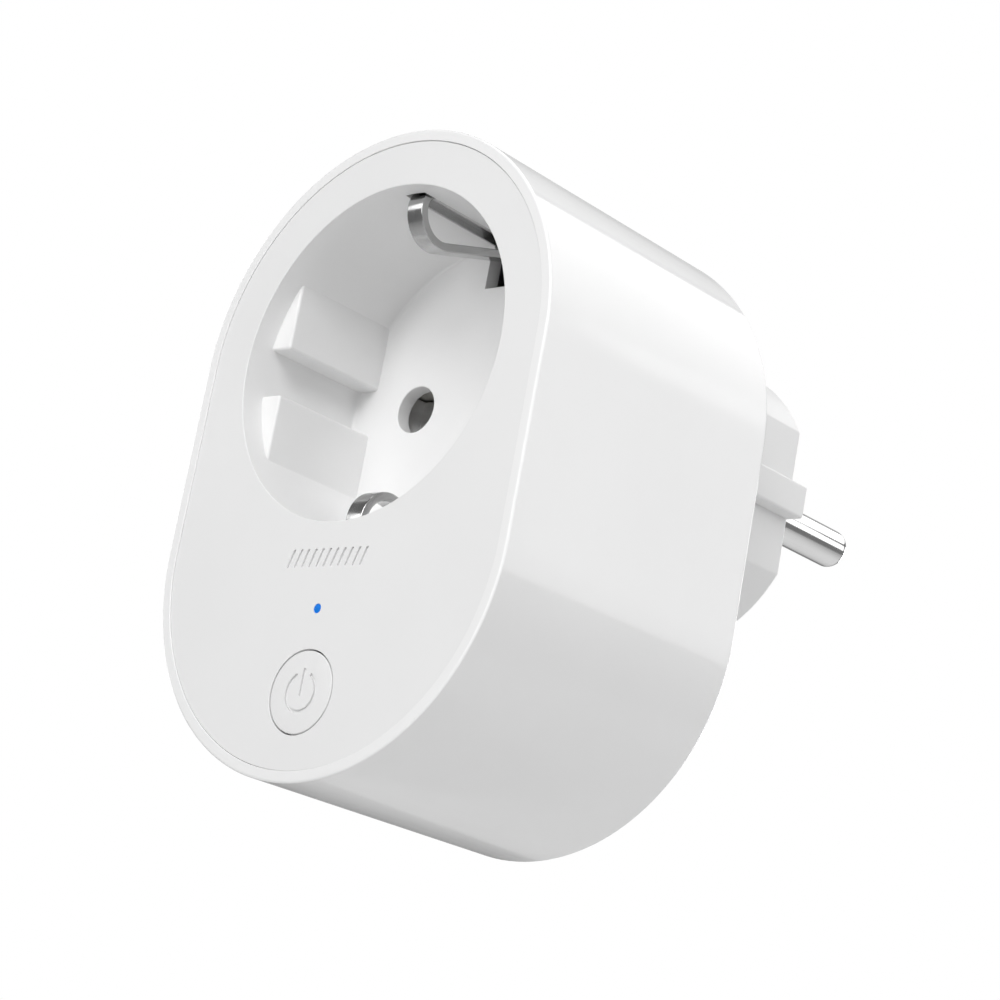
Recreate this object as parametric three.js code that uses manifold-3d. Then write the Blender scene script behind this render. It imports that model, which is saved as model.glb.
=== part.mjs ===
// A smart plug: it plugs into an earthed wall socket, carries an earthed socket of its own on the front,
// and switches it with a relay, a power button and a small radio module.
// Millimetres, +Z up as it hangs on the wall. The front faces -Y and the contact pins point along +Y.
// The origin is the centre of the plug's end face, which seats on the floor of the wall socket.
import * as THREE from "three";
import { mergeVertices } from "three/addons/utils/BufferGeometryUtils.js";
import Module from "manifold-3d";

// ---- Driving dimensions ----

// Contact pins and the plug that enters the wall socket
const PIN_RADIUS = 2.4;
const PIN_LENGTH = 19; // beyond the plug's end face
const PIN_SPACING = 19;
const PLUG_LENGTH = 19.1;
const PLUG_RADIUS = 18.3;
const PLUG_FLAT_X = 16; // half the distance between the plug's flat sides
const RIDGE_X = 18.2; // half the distance across the two guide ridges
const RIDGE_HALF_HEIGHT = 2;
const PLUG_WALL = 2;
const PLUG_END = 2; // thickness of the plug's end wall
const EARTH_GROOVE_WIDTH = 6.4;
const EARTH_GROOVE_DEPTH = 1.9;

// Socket well on the front
const WELL_RADIUS = 19.65;
const WELL_DEPTH = 17.9;
const WELL_WALL = 1.6;
const WELL_FLOOR = 1.9;
const RIB_FLAT_X = 16.5; // half the distance between the flats of the guide ribs
const RIB_GROOVE = 2.8; // half the height of the groove between an upper and a lower rib
const RIB_SETBACK = 3; // from the panel to the front ends of the ribs
const PIN_HOLE_CLEARANCE = 0.45; // round a pin, in the well floor

// Body
const WELL_MARGIN = 6.55; // from the well's edge to the outer face of the body
const ARC_SPACING = 22.5; // between the centres of the upper and the lower arc
const BODY_DEPTH = 38.7;
const SHELL_WALL = 1.9;
const RIM_WIDTH = 1.32; // the bright rim round the panel
const RIM_HEIGHT = 0.15; // how far the rim stands proud of the panel
const PANEL_THICKNESS = 1.8;
const BACK_PLATE = 2;

// Controls on the front panel
const BUTTON_RADIUS = 4.6;
const BUTTON_GAP = 0.15;
const BUTTON_BELOW_ARC = 16.25; // from the lower arc's centre down to the button
const BUTTON_TRAVEL = 0.35;
const SYMBOL_RADIUS = 2.15;
const SYMBOL_LINE = 0.4;
const SYMBOL_DEPTH = 0.25;
const LAMP_RADIUS = 0.55;
const LAMP_BELOW_ARC = 7;

// Earth clips in the well
const CLIP_WIDTH = 2.4;
const CLIP_THICKNESS = 1;
const CLIP_SLOT_WIDTH = 3;
const CLIP_NOSE_RADIUS = 3.55; // to the middle of the strip
const CLIP_REACH = 5.2; // from the well's wall in to the lowest point of the clip

// Electronics
const BOARD_THICKNESS = 1.6;
const RELAY_SIZE = [15.4, 15.2, 19.2]; // width, height above the board, length
const RELAY_GAP = 0.4; // between armature and pole at rest
const RELAY_SWING = 2.4; // degrees that the armature turns

// Clearances
const SEAM = 0.1; // between parts that are fitted together
const TOUCH = 0.05; // between parts that bear on each other
const PLAY = 0.3; // round parts that only pass each other

// Steps along curves
const BODY_STEPS = 20;
const WELL_STEPS = 72;
const SMALL_STEPS = 20;
const BEND_STEPS = 4;

// ---- Places that follow from the dimensions ----

const FRONT = -(PLUG_LENGTH + BODY_DEPTH);
const BACK = -PLUG_LENGTH;
const PANEL_FRONT = FRONT + RIM_HEIGHT;
const PANEL_BACK = PANEL_FRONT + PANEL_THICKNESS;
const FLOOR_FRONT = FRONT + WELL_DEPTH;
const FLOOR_BACK = FLOOR_FRONT + WELL_FLOOR;
const BACK_PLATE_FRONT = BACK - BACK_PLATE;

const BODY_RADIUS = WELL_RADIUS + WELL_MARGIN;
const INNER_RADIUS = BODY_RADIUS - SHELL_WALL;
const PANEL_RADIUS = BODY_RADIUS - RIM_WIDTH - SEAM;
const CUP_RADIUS = WELL_RADIUS + WELL_WALL;
const PIN_X = PIN_SPACING / 2;
const PIN_HOLE_RADIUS = PIN_RADIUS + PIN_HOLE_CLEARANCE;
const BUTTON_Z = -ARC_SPACING - BUTTON_BELOW_ARC;
const LAMP_Z = -ARC_SPACING - LAMP_BELOW_ARC;

// ---- Materials ----

function finish(color, roughness, metalness) {
  return new THREE.MeshStandardMaterial({ color, roughness, metalness });
}

const WHITE_SHELL = finish(0xf4f4f2, 0.25, 0);
const WHITE_PANEL = finish(0xe9e9e8, 0.45, 0);
const INNER_PLASTIC = finish(0xd9d8d2, 0.55, 0);
const LAMP_BLUE = finish(0x1a84fc, 0.2, 0);
const NICKEL = finish(0xb9b9b6, 0.22, 1);
const CHROME = finish(0xdcdcdc, 0.1, 1);
const COPPER = finish(0xc27a4b, 0.3, 1);
const BRASS = finish(0xc9a552, 0.3, 1);
const STEEL = finish(0x9a9a9a, 0.35, 1);
const BOARD_GREEN = finish(0x1d5a3a, 0.5, 0);
const BLACK_PLASTIC = finish(0x1c1c1e, 0.5, 0);
const RELAY_BLUE = finish(0x2556a0, 0.4, 0);
const FERRITE = finish(0x3c3c3e, 0.7, 0);
const COIL_TAPE = finish(0xd8b83a, 0.5, 0);
const CAN_SLEEVE = finish(0x20242c, 0.35, 0);
const FILM_YELLOW = finish(0xd9b13b, 0.5, 0);
const CERAMIC = finish(0x3a6fae, 0.55, 0);

// ---- Solids ----

const wasm = await Module();
wasm.setup();

function toSolid(geometry) {
  const bare = geometry.clone();
  bare.deleteAttribute("normal");
  bare.deleteAttribute("uv");
  const merged = mergeVertices(bare, 1e-4);
  const mesh = new wasm.Mesh({
    numProp: 3,
    vertProperties: merged.attributes.position.array,
    triVerts: new Uint32Array(merged.index.array),
  });
  return new wasm.Manifold(mesh);
}

function toGeometry(solid) {
  const { vertProperties, triVerts } = solid.getMesh();
  const geometry = new THREE.BufferGeometry();
  geometry.setAttribute("position", new THREE.BufferAttribute(vertProperties, 3));
  geometry.setIndex(new THREE.BufferAttribute(triVerts, 1));
  geometry.computeVertexNormals();
  return geometry;
}

const join = (...solids) => solids.reduce((whole, next) => whole.add(next));
const cut = (solid, ...tools) => tools.reduce((left, tool) => left.subtract(tool), solid);
const around = (middle, width) => [middle - width / 2, middle + width / 2];

// A block that spans the given stretch of each axis.
function block([x0, x1], [y0, y1], [z0, z1]) {
  const geometry = new THREE.BoxGeometry(x1 - x0, y1 - y0, z1 - z0);
  geometry.translate((x0 + x1) / 2, (y0 + y1) / 2, (z0 + z1) / 2);
  return toSolid(geometry);
}

// A round bar along Y.
function rod(radius, [y0, y1], x = 0, z = 0, steps = SMALL_STEPS) {
  const geometry = new THREE.CylinderGeometry(radius, radius, y1 - y0, steps);
  geometry.translate(x, (y0 + y1) / 2, z);
  return toSolid(geometry);
}

// A turned piece about an axis along Y; the profile's points are [radius, y], from the lowest y up.
function turned(profile, x = 0, z = 0, steps = SMALL_STEPS) {
  const points = profile.map(([radius, y]) => new THREE.Vector2(radius, y));
  const geometry = new THREE.LatheGeometry(points, steps);
  geometry.translate(x, 0, z);
  return toSolid(geometry);
}

// An outline in the XZ plane, carried along Y.
function slab(shape, [y0, y1], steps = BODY_STEPS) {
  const settings = { depth: y1 - y0, bevelEnabled: false, curveSegments: steps };
  const geometry = new THREE.ExtrudeGeometry(shape, settings);
  geometry.rotateX(Math.PI / 2);
  geometry.translate(0, y1, 0);
  return toSolid(geometry);
}

// The outline shared by the body's parts: two half circles joined by straight sides.
function stadium(radius) {
  const shape = new THREE.Shape();
  shape.absarc(0, 0, radius, 0, Math.PI);
  shape.absarc(0, -ARC_SPACING, radius, Math.PI, 2 * Math.PI);
  shape.closePath();
  return shape;
}

// The outline of a strip of even thickness that follows a path in its plane.
function stripOutline(path, thickness) {
  const points = path.getPoints(BEND_STEPS).filter((p, i, all) => i === 0 || p.distanceTo(all[i - 1]) > 1e-3);
  const directions = points.slice(1).map((p, i) => p.clone().sub(points[i]).normalize());
  const sides = points.map((p, i) => {
    const before = directions[Math.max(i - 1, 0)];
    const after = directions[Math.min(i, directions.length - 1)];
    const along = before.clone().add(after).normalize();
    const reach = thickness / 2 / along.dot(before);
    return new THREE.Vector2(-along.y, along.x).multiplyScalar(reach);
  });
  const left = points.map((p, i) => p.clone().add(sides[i]));
  const right = points.map((p, i) => p.clone().sub(sides[i])).reverse();
  return new THREE.Shape([...left, ...right]);
}

// A strip bent in the YZ plane; its width lies along X.
function stripAcrossX(path, thickness, [x0, x1]) {
  const settings = { depth: x1 - x0, bevelEnabled: false };
  const geometry = new THREE.ExtrudeGeometry(stripOutline(path, thickness), settings);
  const toYZX = new THREE.Matrix4().makeBasis(
    new THREE.Vector3(0, 1, 0),
    new THREE.Vector3(0, 0, 1),
    new THREE.Vector3(1, 0, 0),
  );
  geometry.applyMatrix4(toYZX);
  geometry.translate(x0, 0, 0);
  return toSolid(geometry);
}

// A strip bent in the XY plane; its width lies along Z.
function stripAcrossZ(path, thickness, [z0, z1]) {
  const settings = { depth: z1 - z0, bevelEnabled: false };
  const geometry = new THREE.ExtrudeGeometry(stripOutline(path, thickness), settings);
  geometry.translate(0, 0, z0);
  return toSolid(geometry);
}

const upsideDown = (solid) => solid.mirror([0, 0, 1]);
const leftToRight = (solid) => solid.mirror([1, 0, 0]);

const plug = new THREE.Group();

function addPart(name, solid, material) {
  const mesh = new THREE.Mesh(toGeometry(solid), material);
  mesh.name = name;
  plug.add(mesh);
}

// ---- Casing ----

const LEDGE_Y = PANEL_BACK + TOUCH; // the panel's edge rests on this step in the shell

function outerShell() {
  return cut(
    slab(stadium(BODY_RADIUS), [FRONT, BACK]),
    slab(stadium(BODY_RADIUS - RIM_WIDTH), [FRONT - 1, LEDGE_Y]),
    slab(stadium(INNER_RADIUS), [FRONT - 1, BACK + 1]),
  );
}

// Lower parts hang from the well's underside, so they stay clear of it.
const BELOW_WELL_Z = -CUP_RADIUS - 1;
const CONTROL_BOARD_FRONT = PANEL_BACK + 5;
const CONTROL_BOARD_THICKNESS = 1.2;
const CONTROL_BOARD_BACK = CONTROL_BOARD_FRONT + CONTROL_BOARD_THICKNESS;
const CONTROL_SCREW = { x: INNER_RADIUS - 6.9, z: BELOW_WELL_Z - 3.4 };
const CARRIER_SCREW_Z = 6.5;
const SCREW_BORE = 0.95; // radius of the pilot holes that the screws cut their thread in
const SCREW_SHANK = 0.85;
const BOSS_RADIUS = 2.4;
const CARRIER_BOSS_HEIGHT = 3.2;

function guideRibs() {
  const span = [PANEL_FRONT + RIB_SETBACK, FLOOR_FRONT + 0.3];
  const disc = rod(WELL_RADIUS + WELL_WALL / 2, span, 0, 0, WELL_STEPS);
  const between = block([-RIB_FLAT_X, RIB_FLAT_X], around(FLOOR_FRONT, 60), [-40, 40]);
  const groove = block([-40, 40], around(FLOOR_FRONT, 60), [-RIB_GROOVE, RIB_GROOVE]);
  return cut(disc, between, groove);
}

const CLIP_SLOT_FRONT = PANEL_FRONT + 2.3;

function clipSlot() {
  const wallSlot = block(
    around(0, CLIP_SLOT_WIDTH),
    [CLIP_SLOT_FRONT, FLOOR_BACK + 1],
    [WELL_RADIUS - 1.5, CUP_RADIUS + 1],
  );
  const floorSlot = block(
    around(0, CLIP_SLOT_WIDTH + 0.8),
    [FLOOR_FRONT - 0.1, FLOOR_BACK + 1],
    [WELL_RADIUS - CLIP_REACH - 0.15, WELL_RADIUS - 1],
  );
  return join(wallSlot, floorSlot);
}

function frontCover() {
  const panel = slab(stadium(PANEL_RADIUS), [PANEL_FRONT, PANEL_BACK]);
  const cup = rod(CUP_RADIUS, [PANEL_BACK - 0.5, FLOOR_BACK], 0, 0, WELL_STEPS);
  const well = rod(WELL_RADIUS, [FRONT - 1, FLOOR_FRONT], 0, 0, WELL_STEPS);
  const bossSpan = [PANEL_BACK - 0.5, CONTROL_BOARD_FRONT - TOUCH];
  const controlBosses = [-1, 1].map((side) =>
    rod(BOSS_RADIUS, bossSpan, side * CONTROL_SCREW.x, CONTROL_SCREW.z),
  );
  const carrierBosses = [-1, 1].map((side) =>
    rod(BOSS_RADIUS, [FLOOR_BACK - 0.5, FLOOR_BACK + CARRIER_BOSS_HEIGHT], 0, side * CARRIER_SCREW_Z),
  );
  const pilots = [-1, 1].flatMap((side) => [
    rod(SCREW_BORE, [PANEL_BACK + 0.3, CONTROL_BOARD_FRONT], side * CONTROL_SCREW.x, CONTROL_SCREW.z, 16),
    rod(SCREW_BORE, [FLOOR_BACK + 0.2, FLOOR_BACK + 5], 0, side * CARRIER_SCREW_Z, 16),
  ]);
  const pinHoles = [-1, 1].map((side) => rod(PIN_HOLE_RADIUS, around(FLOOR_FRONT, 8), side * PIN_X, 0, 32));
  const buttonHole = rod(BUTTON_RADIUS + BUTTON_GAP, [FRONT - 1, PANEL_BACK + 1], 0, BUTTON_Z, 40);
  const lampHole = rod(LAMP_RADIUS + SEAM, [FRONT - 1, PANEL_BACK + 1], 0, LAMP_Z, 16);
  const body = cut(join(panel, cup), well);
  return cut(
    join(body, guideRibs(), ...controlBosses, ...carrierBosses),
    ...pinHoles,
    ...pilots,
    clipSlot(),
    upsideDown(clipSlot()),
    buttonHole,
    lampHole,
  );
}

// The plug's outline: a circle with flat sides and a guide ridge on each.
function plugBlock([y0, y1], inset = 0) {
  const circle = rod(PLUG_RADIUS - inset, [y0, y1], 0, 0, WELL_STEPS);
  const flats = block(around(0, 2 * (PLUG_FLAT_X - inset)), around(BACK, 99), around(0, 99));
  const barrel = circle.intersect(flats);
  const ridge = block(around(0, 2 * (RIDGE_X - inset)), [y0, y1], around(0, 2 * (RIDGE_HALF_HEIGHT - inset)));
  return inset > 0 ? barrel : join(barrel, ridge);
}

const EARTH_LEG_Y = BACK + 3.2; // where the side contact passes into the plug
const GROOVE_FLOOR_Z = PLUG_RADIUS - EARTH_GROOVE_DEPTH;

function earthGroove() {
  const groove = block(around(0, EARTH_GROOVE_WIDTH), [BACK + 1.6, 1], [GROOVE_FLOOR_Z, PLUG_RADIUS + 1]);
  const legZ = [GROOVE_FLOOR_Z - 8, PLUG_RADIUS];
  const leg = block(around(0, EARTH_GROOVE_WIDTH), around(EARTH_LEG_Y, 2.4), legZ);
  return join(groove, leg);
}

const POWER_BOARD_BACK = BACK_PLATE_FRONT - 2.5;
const POWER_BOARD_FRONT = POWER_BOARD_BACK - BOARD_THICKNESS;
const POWER_SCREW = { x: INNER_RADIUS - 6.6, z: -15.6 };

function rearCover() {
  const plate = slab(stadium(INNER_RADIUS - SEAM), [BACK_PLATE_FRONT, BACK]);
  const hollow = plugBlock([BACK_PLATE_FRONT - 1, -PLUG_END], PLUG_WALL);
  const bosses = [-1, 1].map((side) =>
    rod(BOSS_RADIUS, [POWER_BOARD_BACK + TOUCH, BACK_PLATE_FRONT + 0.5], side * POWER_SCREW.x, POWER_SCREW.z),
  );
  const pilots = [-1, 1].map((side) =>
    rod(SCREW_BORE, [POWER_BOARD_BACK - 1, BACK - 0.5], side * POWER_SCREW.x, POWER_SCREW.z, 16),
  );
  const pinHoles = [-1, 1].map((side) => rod(PIN_RADIUS + SEAM, [-PLUG_END - 1, 1], side * PIN_X, 0, 32));
  return cut(
    join(plate, plugBlock([BACK_PLATE_FRONT, 0]), ...bosses),
    hollow,
    earthGroove(),
    upsideDown(earthGroove()),
    ...pilots,
    ...pinHoles,
  );
}

addPart("outer_shell", outerShell(), WHITE_SHELL);
addPart("front_cover", frontCover(), WHITE_PANEL);
addPart("rear_cover", rearCover(), WHITE_SHELL);

// ---- Power button, key switch and status lamp ----

const BUTTON_FLANGE_FRONT = PANEL_BACK + SEAM;
const BUTTON_FLANGE_BACK = BUTTON_FLANGE_FRONT + 0.6;
const KEY_FRONT = CONTROL_BOARD_FRONT - 3.4; // front face of the key switch's case
const PLUNGER_FRONT = KEY_FRONT - 0.6;
const PLUNGER_RADIUS = 1.6;

// An open ring with a bar through the gap, as an outline in the XZ plane.
function powerSymbol(y) {
  const outer = SYMBOL_RADIUS + SYMBOL_LINE / 2;
  const inner = SYMBOL_RADIUS - SYMBOL_LINE / 2;
  const gap = (31 * Math.PI) / 180;
  const [start, end] = [Math.PI / 2 + gap, Math.PI / 2 - gap + 2 * Math.PI];
  const ring = new THREE.Shape();
  ring.absarc(0, BUTTON_Z, outer, start, end, false);
  ring.absarc(0, BUTTON_Z, inner, end, start, true);
  ring.closePath();
  const bar = block(around(0, SYMBOL_LINE), y, [BUTTON_Z - 0.5, BUTTON_Z + outer + 0.3]);
  return join(slab(ring, y, 10), bar);
}

function powerButton() {
  const cap = turned(
    [
      [0, PANEL_FRONT],
      [BUTTON_RADIUS - 0.12, PANEL_FRONT],
      [BUTTON_RADIUS, PANEL_FRONT + 0.12],
      [BUTTON_RADIUS, BUTTON_FLANGE_FRONT],
      [BUTTON_RADIUS + 0.9, BUTTON_FLANGE_FRONT],
      [BUTTON_RADIUS + 0.9, BUTTON_FLANGE_BACK],
      [PLUNGER_RADIUS, BUTTON_FLANGE_BACK],
      [PLUNGER_RADIUS, PLUNGER_FRONT - TOUCH],
      [0, PLUNGER_FRONT - TOUCH],
    ],
    0,
    BUTTON_Z,
    40,
  );
  return cut(cap, powerSymbol([FRONT - 1, PANEL_FRONT + SYMBOL_DEPTH]));
}

function keySwitchCase() {
  const side = 6;
  const body = block(around(0, side), [KEY_FRONT, CONTROL_BOARD_FRONT - TOUCH], around(BUTTON_Z, side));
  return cut(body, rod(PLUNGER_RADIUS + SEAM, [KEY_FRONT - 1, KEY_FRONT + 1.4], 0, BUTTON_Z));
}

function keySwitchPlunger() {
  return rod(PLUNGER_RADIUS, [PLUNGER_FRONT, KEY_FRONT + 1.4 - BUTTON_TRAVEL - SEAM], 0, BUTTON_Z);
}

const LAMP_CHIP_FRONT = CONTROL_BOARD_FRONT - 0.8;

function lightPipe() {
  return turned(
    [
      [0, PANEL_FRONT],
      [LAMP_RADIUS, PANEL_FRONT],
      [LAMP_RADIUS, PANEL_BACK + TOUCH],
      [LAMP_RADIUS + 1, PANEL_BACK + TOUCH],
      [LAMP_RADIUS + 1, PANEL_BACK + 0.8],
      [LAMP_RADIUS + 0.4, PANEL_BACK + 0.8],
      [LAMP_RADIUS + 0.4, LAMP_CHIP_FRONT - SEAM],
      [0, LAMP_CHIP_FRONT - SEAM],
    ],
    0,
    LAMP_Z,
    20,
  );
}

addPart("power_button", powerButton(), WHITE_PANEL);
addPart("key_switch_case", keySwitchCase(), BLACK_PLASTIC);
addPart("key_switch_plunger", keySwitchPlunger(), BLACK_PLASTIC);
addPart("light_pipe", lightPipe(), LAMP_BLUE);
const lampChip = block(around(0, 1.6), [LAMP_CHIP_FRONT, CONTROL_BOARD_FRONT - TOUCH], around(LAMP_Z, 0.8));
addPart("status_lamp_chip", lampChip, LAMP_BLUE);

// ---- Contact carrier and mains contacts ----

const BRIDGE_THICKNESS = 0.8;
const BRIDGE_BACK = BACK_PLATE_FRONT - 0.9;
const BRIDGE_FRONT = BRIDGE_BACK - BRIDGE_THICKNESS;
const CARRIER_FRONT = FLOOR_BACK + PLAY;
const CARRIER_BACK = BRIDGE_FRONT - 0.5;
const CARRIER_HALF_HEIGHT = 9;

const FORK_THICKNESS = 0.8;
const FORK_HALF_HEIGHT = 3.1;
const FORK_GRIP = 0.25; // how far each leaf stands inside the pin's surface
const LEAF_X = PIN_RADIUS - FORK_GRIP + FORK_THICKNESS / 2; // from the pin's axis to the middle of a leaf
const LIP_X = LEAF_X + 2.1;
const LIP_DEPTH = 3.6; // from the carrier's front face back to the step
const FORK_BACK = CARRIER_BACK + SEAM;

// The pockets are wide at the mouth, where the lips lie, and narrow behind it.
function contactPocket() {
  const height = around(0, 2 * (FORK_HALF_HEIGHT + PLAY));
  const mouthHalf = LIP_X + FORK_THICKNESS / 2 + PLAY;
  const throatHalf = LEAF_X + FORK_THICKNESS / 2 + PLAY;
  const mouthEnd = CARRIER_FRONT + LIP_DEPTH + FORK_THICKNESS / 2 + PLAY;
  return join(
    block(around(PIN_X, 2 * mouthHalf), [CARRIER_FRONT - 1, mouthEnd], height),
    block(around(PIN_X, 2 * throatHalf), [CARRIER_FRONT - 1, CARRIER_BACK + 1], height),
  );
}

function contactCarrier() {
  const halfWidth = PIN_X + LIP_X + FORK_THICKNESS / 2 + PLAY + 1.6;
  const span = [CARRIER_FRONT, CARRIER_BACK];
  const body = block(around(0, 2 * halfWidth), span, around(0, 2 * CARRIER_HALF_HEIGHT));
  const bossWay = [CARRIER_FRONT - 1, FLOOR_BACK + CARRIER_BOSS_HEIGHT + PLAY];
  const screwWays = [-1, 1].flatMap((side) => [
    rod(BOSS_RADIUS + PLAY, bossWay, 0, side * CARRIER_SCREW_Z),
    rod(SCREW_SHANK + PLAY, span, 0, side * CARRIER_SCREW_Z, 16),
    rod(SCREW_HEAD_RADIUS + PLAY, [CARRIER_SCREW_SEAT, CARRIER_BACK + 1], 0, side * CARRIER_SCREW_Z),
  ]);
  return cut(body, contactPocket(), leftToRight(contactPocket()), ...screwWays);
}

function contactFork(x) {
  const path = new THREE.Path();
  const lipFront = CARRIER_FRONT + PLAY;
  const step = CARRIER_FRONT + LIP_DEPTH;
  const back = FORK_BACK - FORK_THICKNESS / 2;
  path.moveTo(x - LIP_X, lipFront);
  path.lineTo(x - LIP_X, step);
  path.lineTo(x - LEAF_X, step);
  path.lineTo(x - LEAF_X, back);
  path.lineTo(x + LEAF_X, back);
  path.lineTo(x + LEAF_X, step);
  path.lineTo(x + LIP_X, step);
  path.lineTo(x + LIP_X, lipFront);
  return stripAcrossZ(path, FORK_THICKNESS, around(0, 2 * FORK_HALF_HEIGHT));
}

// Self-tapping screws: a round head with a slot, and a plain shank.
const SCREW_HEAD_RADIUS = 2;
const SCREW_HEAD_HEIGHT = 1.4;
const CARRIER_SCREW_SEAT = FLOOR_BACK + CARRIER_BOSS_HEIGHT + PLAY + 1.8;

function screw(seat, tip, x, z) {
  const away = Math.sign(seat - tip); // from the tip towards the head
  const headEnd = seat + away * SCREW_HEAD_HEIGHT;
  const ordered = (a, b) => [Math.min(a, b), Math.max(a, b)];
  const head = rod(SCREW_HEAD_RADIUS, ordered(seat + away * TOUCH, headEnd), x, z);
  const shank = rod(SCREW_SHANK, ordered(tip, seat + away * 0.5), x, z, 16);
  const slot = block(around(x, 5), ordered(headEnd - away * 0.6, headEnd + away), around(z, 0.7));
  return cut(join(head, shank), slot);
}

addPart("contact_carrier", contactCarrier(), INNER_PLASTIC);
addPart("live_contact", contactFork(-PIN_X), NICKEL);
addPart("neutral_contact", contactFork(PIN_X), NICKEL);
addPart("carrier_screw_top", screw(CARRIER_SCREW_SEAT, FLOOR_BACK + 0.6, 0, CARRIER_SCREW_Z), STEEL);
addPart("carrier_screw_bottom", screw(CARRIER_SCREW_SEAT, FLOOR_BACK + 0.6, 0, -CARRIER_SCREW_Z), STEEL);

// ---- Plug pins and the block that holds them ----

const COLLAR_RADIUS = PIN_RADIUS + 1.1;
const COLLAR = [-PLUG_END - 2.3, -PLUG_END - SEAM];
const ROOT_RADIUS = PIN_RADIUS - 0.4;
const PIN_BLOCK = [BACK + 5, COLLAR[0] - SEAM];
const EYE_FRONT = BACK + 3.2; // front face of the busbar eyes that the pins are riveted to
const EYE_BACK = EYE_FRONT + BRIDGE_THICKNESS;
const RIVET_RADIUS = 1.3;

function contactPin(x) {
  const tip = PIN_RADIUS * 0.75;
  const round = [1, 2, 3, 4, 5].map((step) => {
    const angle = (step * Math.PI) / 10;
    const start = PIN_LENGTH - tip;
    return [step === 5 ? 0 : PIN_RADIUS * Math.cos(angle), start + tip * Math.sin(angle)];
  });
  return turned(
    [
      [0, EYE_FRONT - 0.8],
      [RIVET_RADIUS + 0.8, EYE_FRONT - 0.8],
      [RIVET_RADIUS + 0.8, EYE_FRONT - TOUCH],
      [RIVET_RADIUS, EYE_FRONT - TOUCH],
      [RIVET_RADIUS, EYE_BACK + TOUCH],
      [ROOT_RADIUS, EYE_BACK + TOUCH],
      [ROOT_RADIUS, COLLAR[0]],
      [COLLAR_RADIUS, COLLAR[0]],
      [COLLAR_RADIUS, COLLAR[1]],
      [PIN_RADIUS, COLLAR[1]],
      [PIN_RADIUS, PIN_LENGTH - tip],
      ...round,
    ],
    x,
    0,
    24,
  );
}

function pinBlock() {
  const half = [PIN_X + COLLAR_RADIUS, COLLAR_RADIUS + 2];
  const body = block(around(0, 2 * half[0]), PIN_BLOCK, around(0, 2 * half[1]));
  const bores = [-1, 1].map((side) => rod(ROOT_RADIUS + SEAM, around(BACK, 60), side * PIN_X, 0));
  return cut(body, ...bores);
}

addPart("live_pin", contactPin(-PIN_X), CHROME);
addPart("neutral_pin", contactPin(PIN_X), CHROME);
addPart("pin_block", pinBlock(), BLACK_PLASTIC);

// ---- Earth path: socket clips, bridge, plug side contacts and their rivets ----

const CLIP_BACK_Z = WELL_RADIUS + 0.95; // level of the clip's outer leg, in the slot of the well's wall
const CLIP_LOW_Z = WELL_RADIUS - CLIP_REACH + CLIP_THICKNESS / 2;
const CLIP_NOSE_Y = CLIP_SLOT_FRONT + 0.3 + CLIP_THICKNESS / 2;
const TAB_LENGTH = 5.2;
const TAB_WIDTH = CLIP_WIDTH + 2.6;
const RIVET_TOP_Z = CLIP_BACK_Z - 3.4;
const RIVET_INNER_Z = RIVET_TOP_Z - 7.3; // the side contact's tab stays clear of the clip's rivet
const EARTH_RIVET_RADIUS = 1;

// A closed teardrop: tab on the bridge, outer leg forwards, round nose, and a free leg back into the floor.
function earthClip() {
  const tabY = BRIDGE_FRONT - TOUCH - CLIP_THICKNESS / 2;
  const noseCentreY = CLIP_NOSE_Y + CLIP_NOSE_RADIUS;
  const noseCentreZ = CLIP_LOW_Z + CLIP_NOSE_RADIUS;
  const turnRadius = CLIP_BACK_Z - noseCentreZ;
  const slope = (17 * Math.PI) / 180;
  const low = -Math.PI / 2 + slope;
  const lowY = noseCentreY + CLIP_NOSE_RADIUS * Math.cos(low);
  const lowZ = noseCentreZ + CLIP_NOSE_RADIUS * Math.sin(low);
  const tailY = FLOOR_BACK - 0.3;
  const path = new THREE.Path();
  path.moveTo(tabY, CLIP_BACK_Z - TAB_LENGTH);
  path.lineTo(tabY, CLIP_BACK_Z - 1.2);
  path.absarc(tabY - 1.2, CLIP_BACK_Z - 1.2, 1.2, 0, Math.PI / 2);
  path.lineTo(CLIP_NOSE_Y + turnRadius, CLIP_BACK_Z);
  path.absarc(CLIP_NOSE_Y + turnRadius, noseCentreZ, turnRadius, Math.PI / 2, Math.PI);
  path.absarc(noseCentreY, noseCentreZ, CLIP_NOSE_RADIUS, Math.PI, 2 * Math.PI + low);
  path.lineTo(tailY, lowZ + (tailY - lowY) * Math.tan(slope));
  const strip = stripAcrossX(path, CLIP_THICKNESS, around(0, CLIP_WIDTH));
  const tab = block(
    around(0, TAB_WIDTH),
    around(tabY, CLIP_THICKNESS),
    [CLIP_BACK_Z - TAB_LENGTH, CLIP_BACK_Z - 1.6],
  );
  return cut(join(strip, tab), rod(EARTH_RIVET_RADIUS + TOUCH, around(tabY, 3), 0, RIVET_TOP_Z, 16));
}

function earthBridge() {
  const y = [BRIDGE_FRONT, BRIDGE_BACK];
  const bar = block(around(0, 5), y, around(0, 2 * (CLIP_BACK_Z - 0.6)));
  const holes = [RIVET_TOP_Z, RIVET_INNER_Z].flatMap((z) =>
    [-1, 1].map((side) => rod(EARTH_RIVET_RADIUS + TOUCH, around(BRIDGE_FRONT, 4), 0, side * z, 16)),
  );
  return cut(bar, ...holes);
}

// The side contact lies in the plug's groove, and its leg turns in and forwards to the bridge.
const SIDE_CONTACT_THICKNESS = 1;

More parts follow.
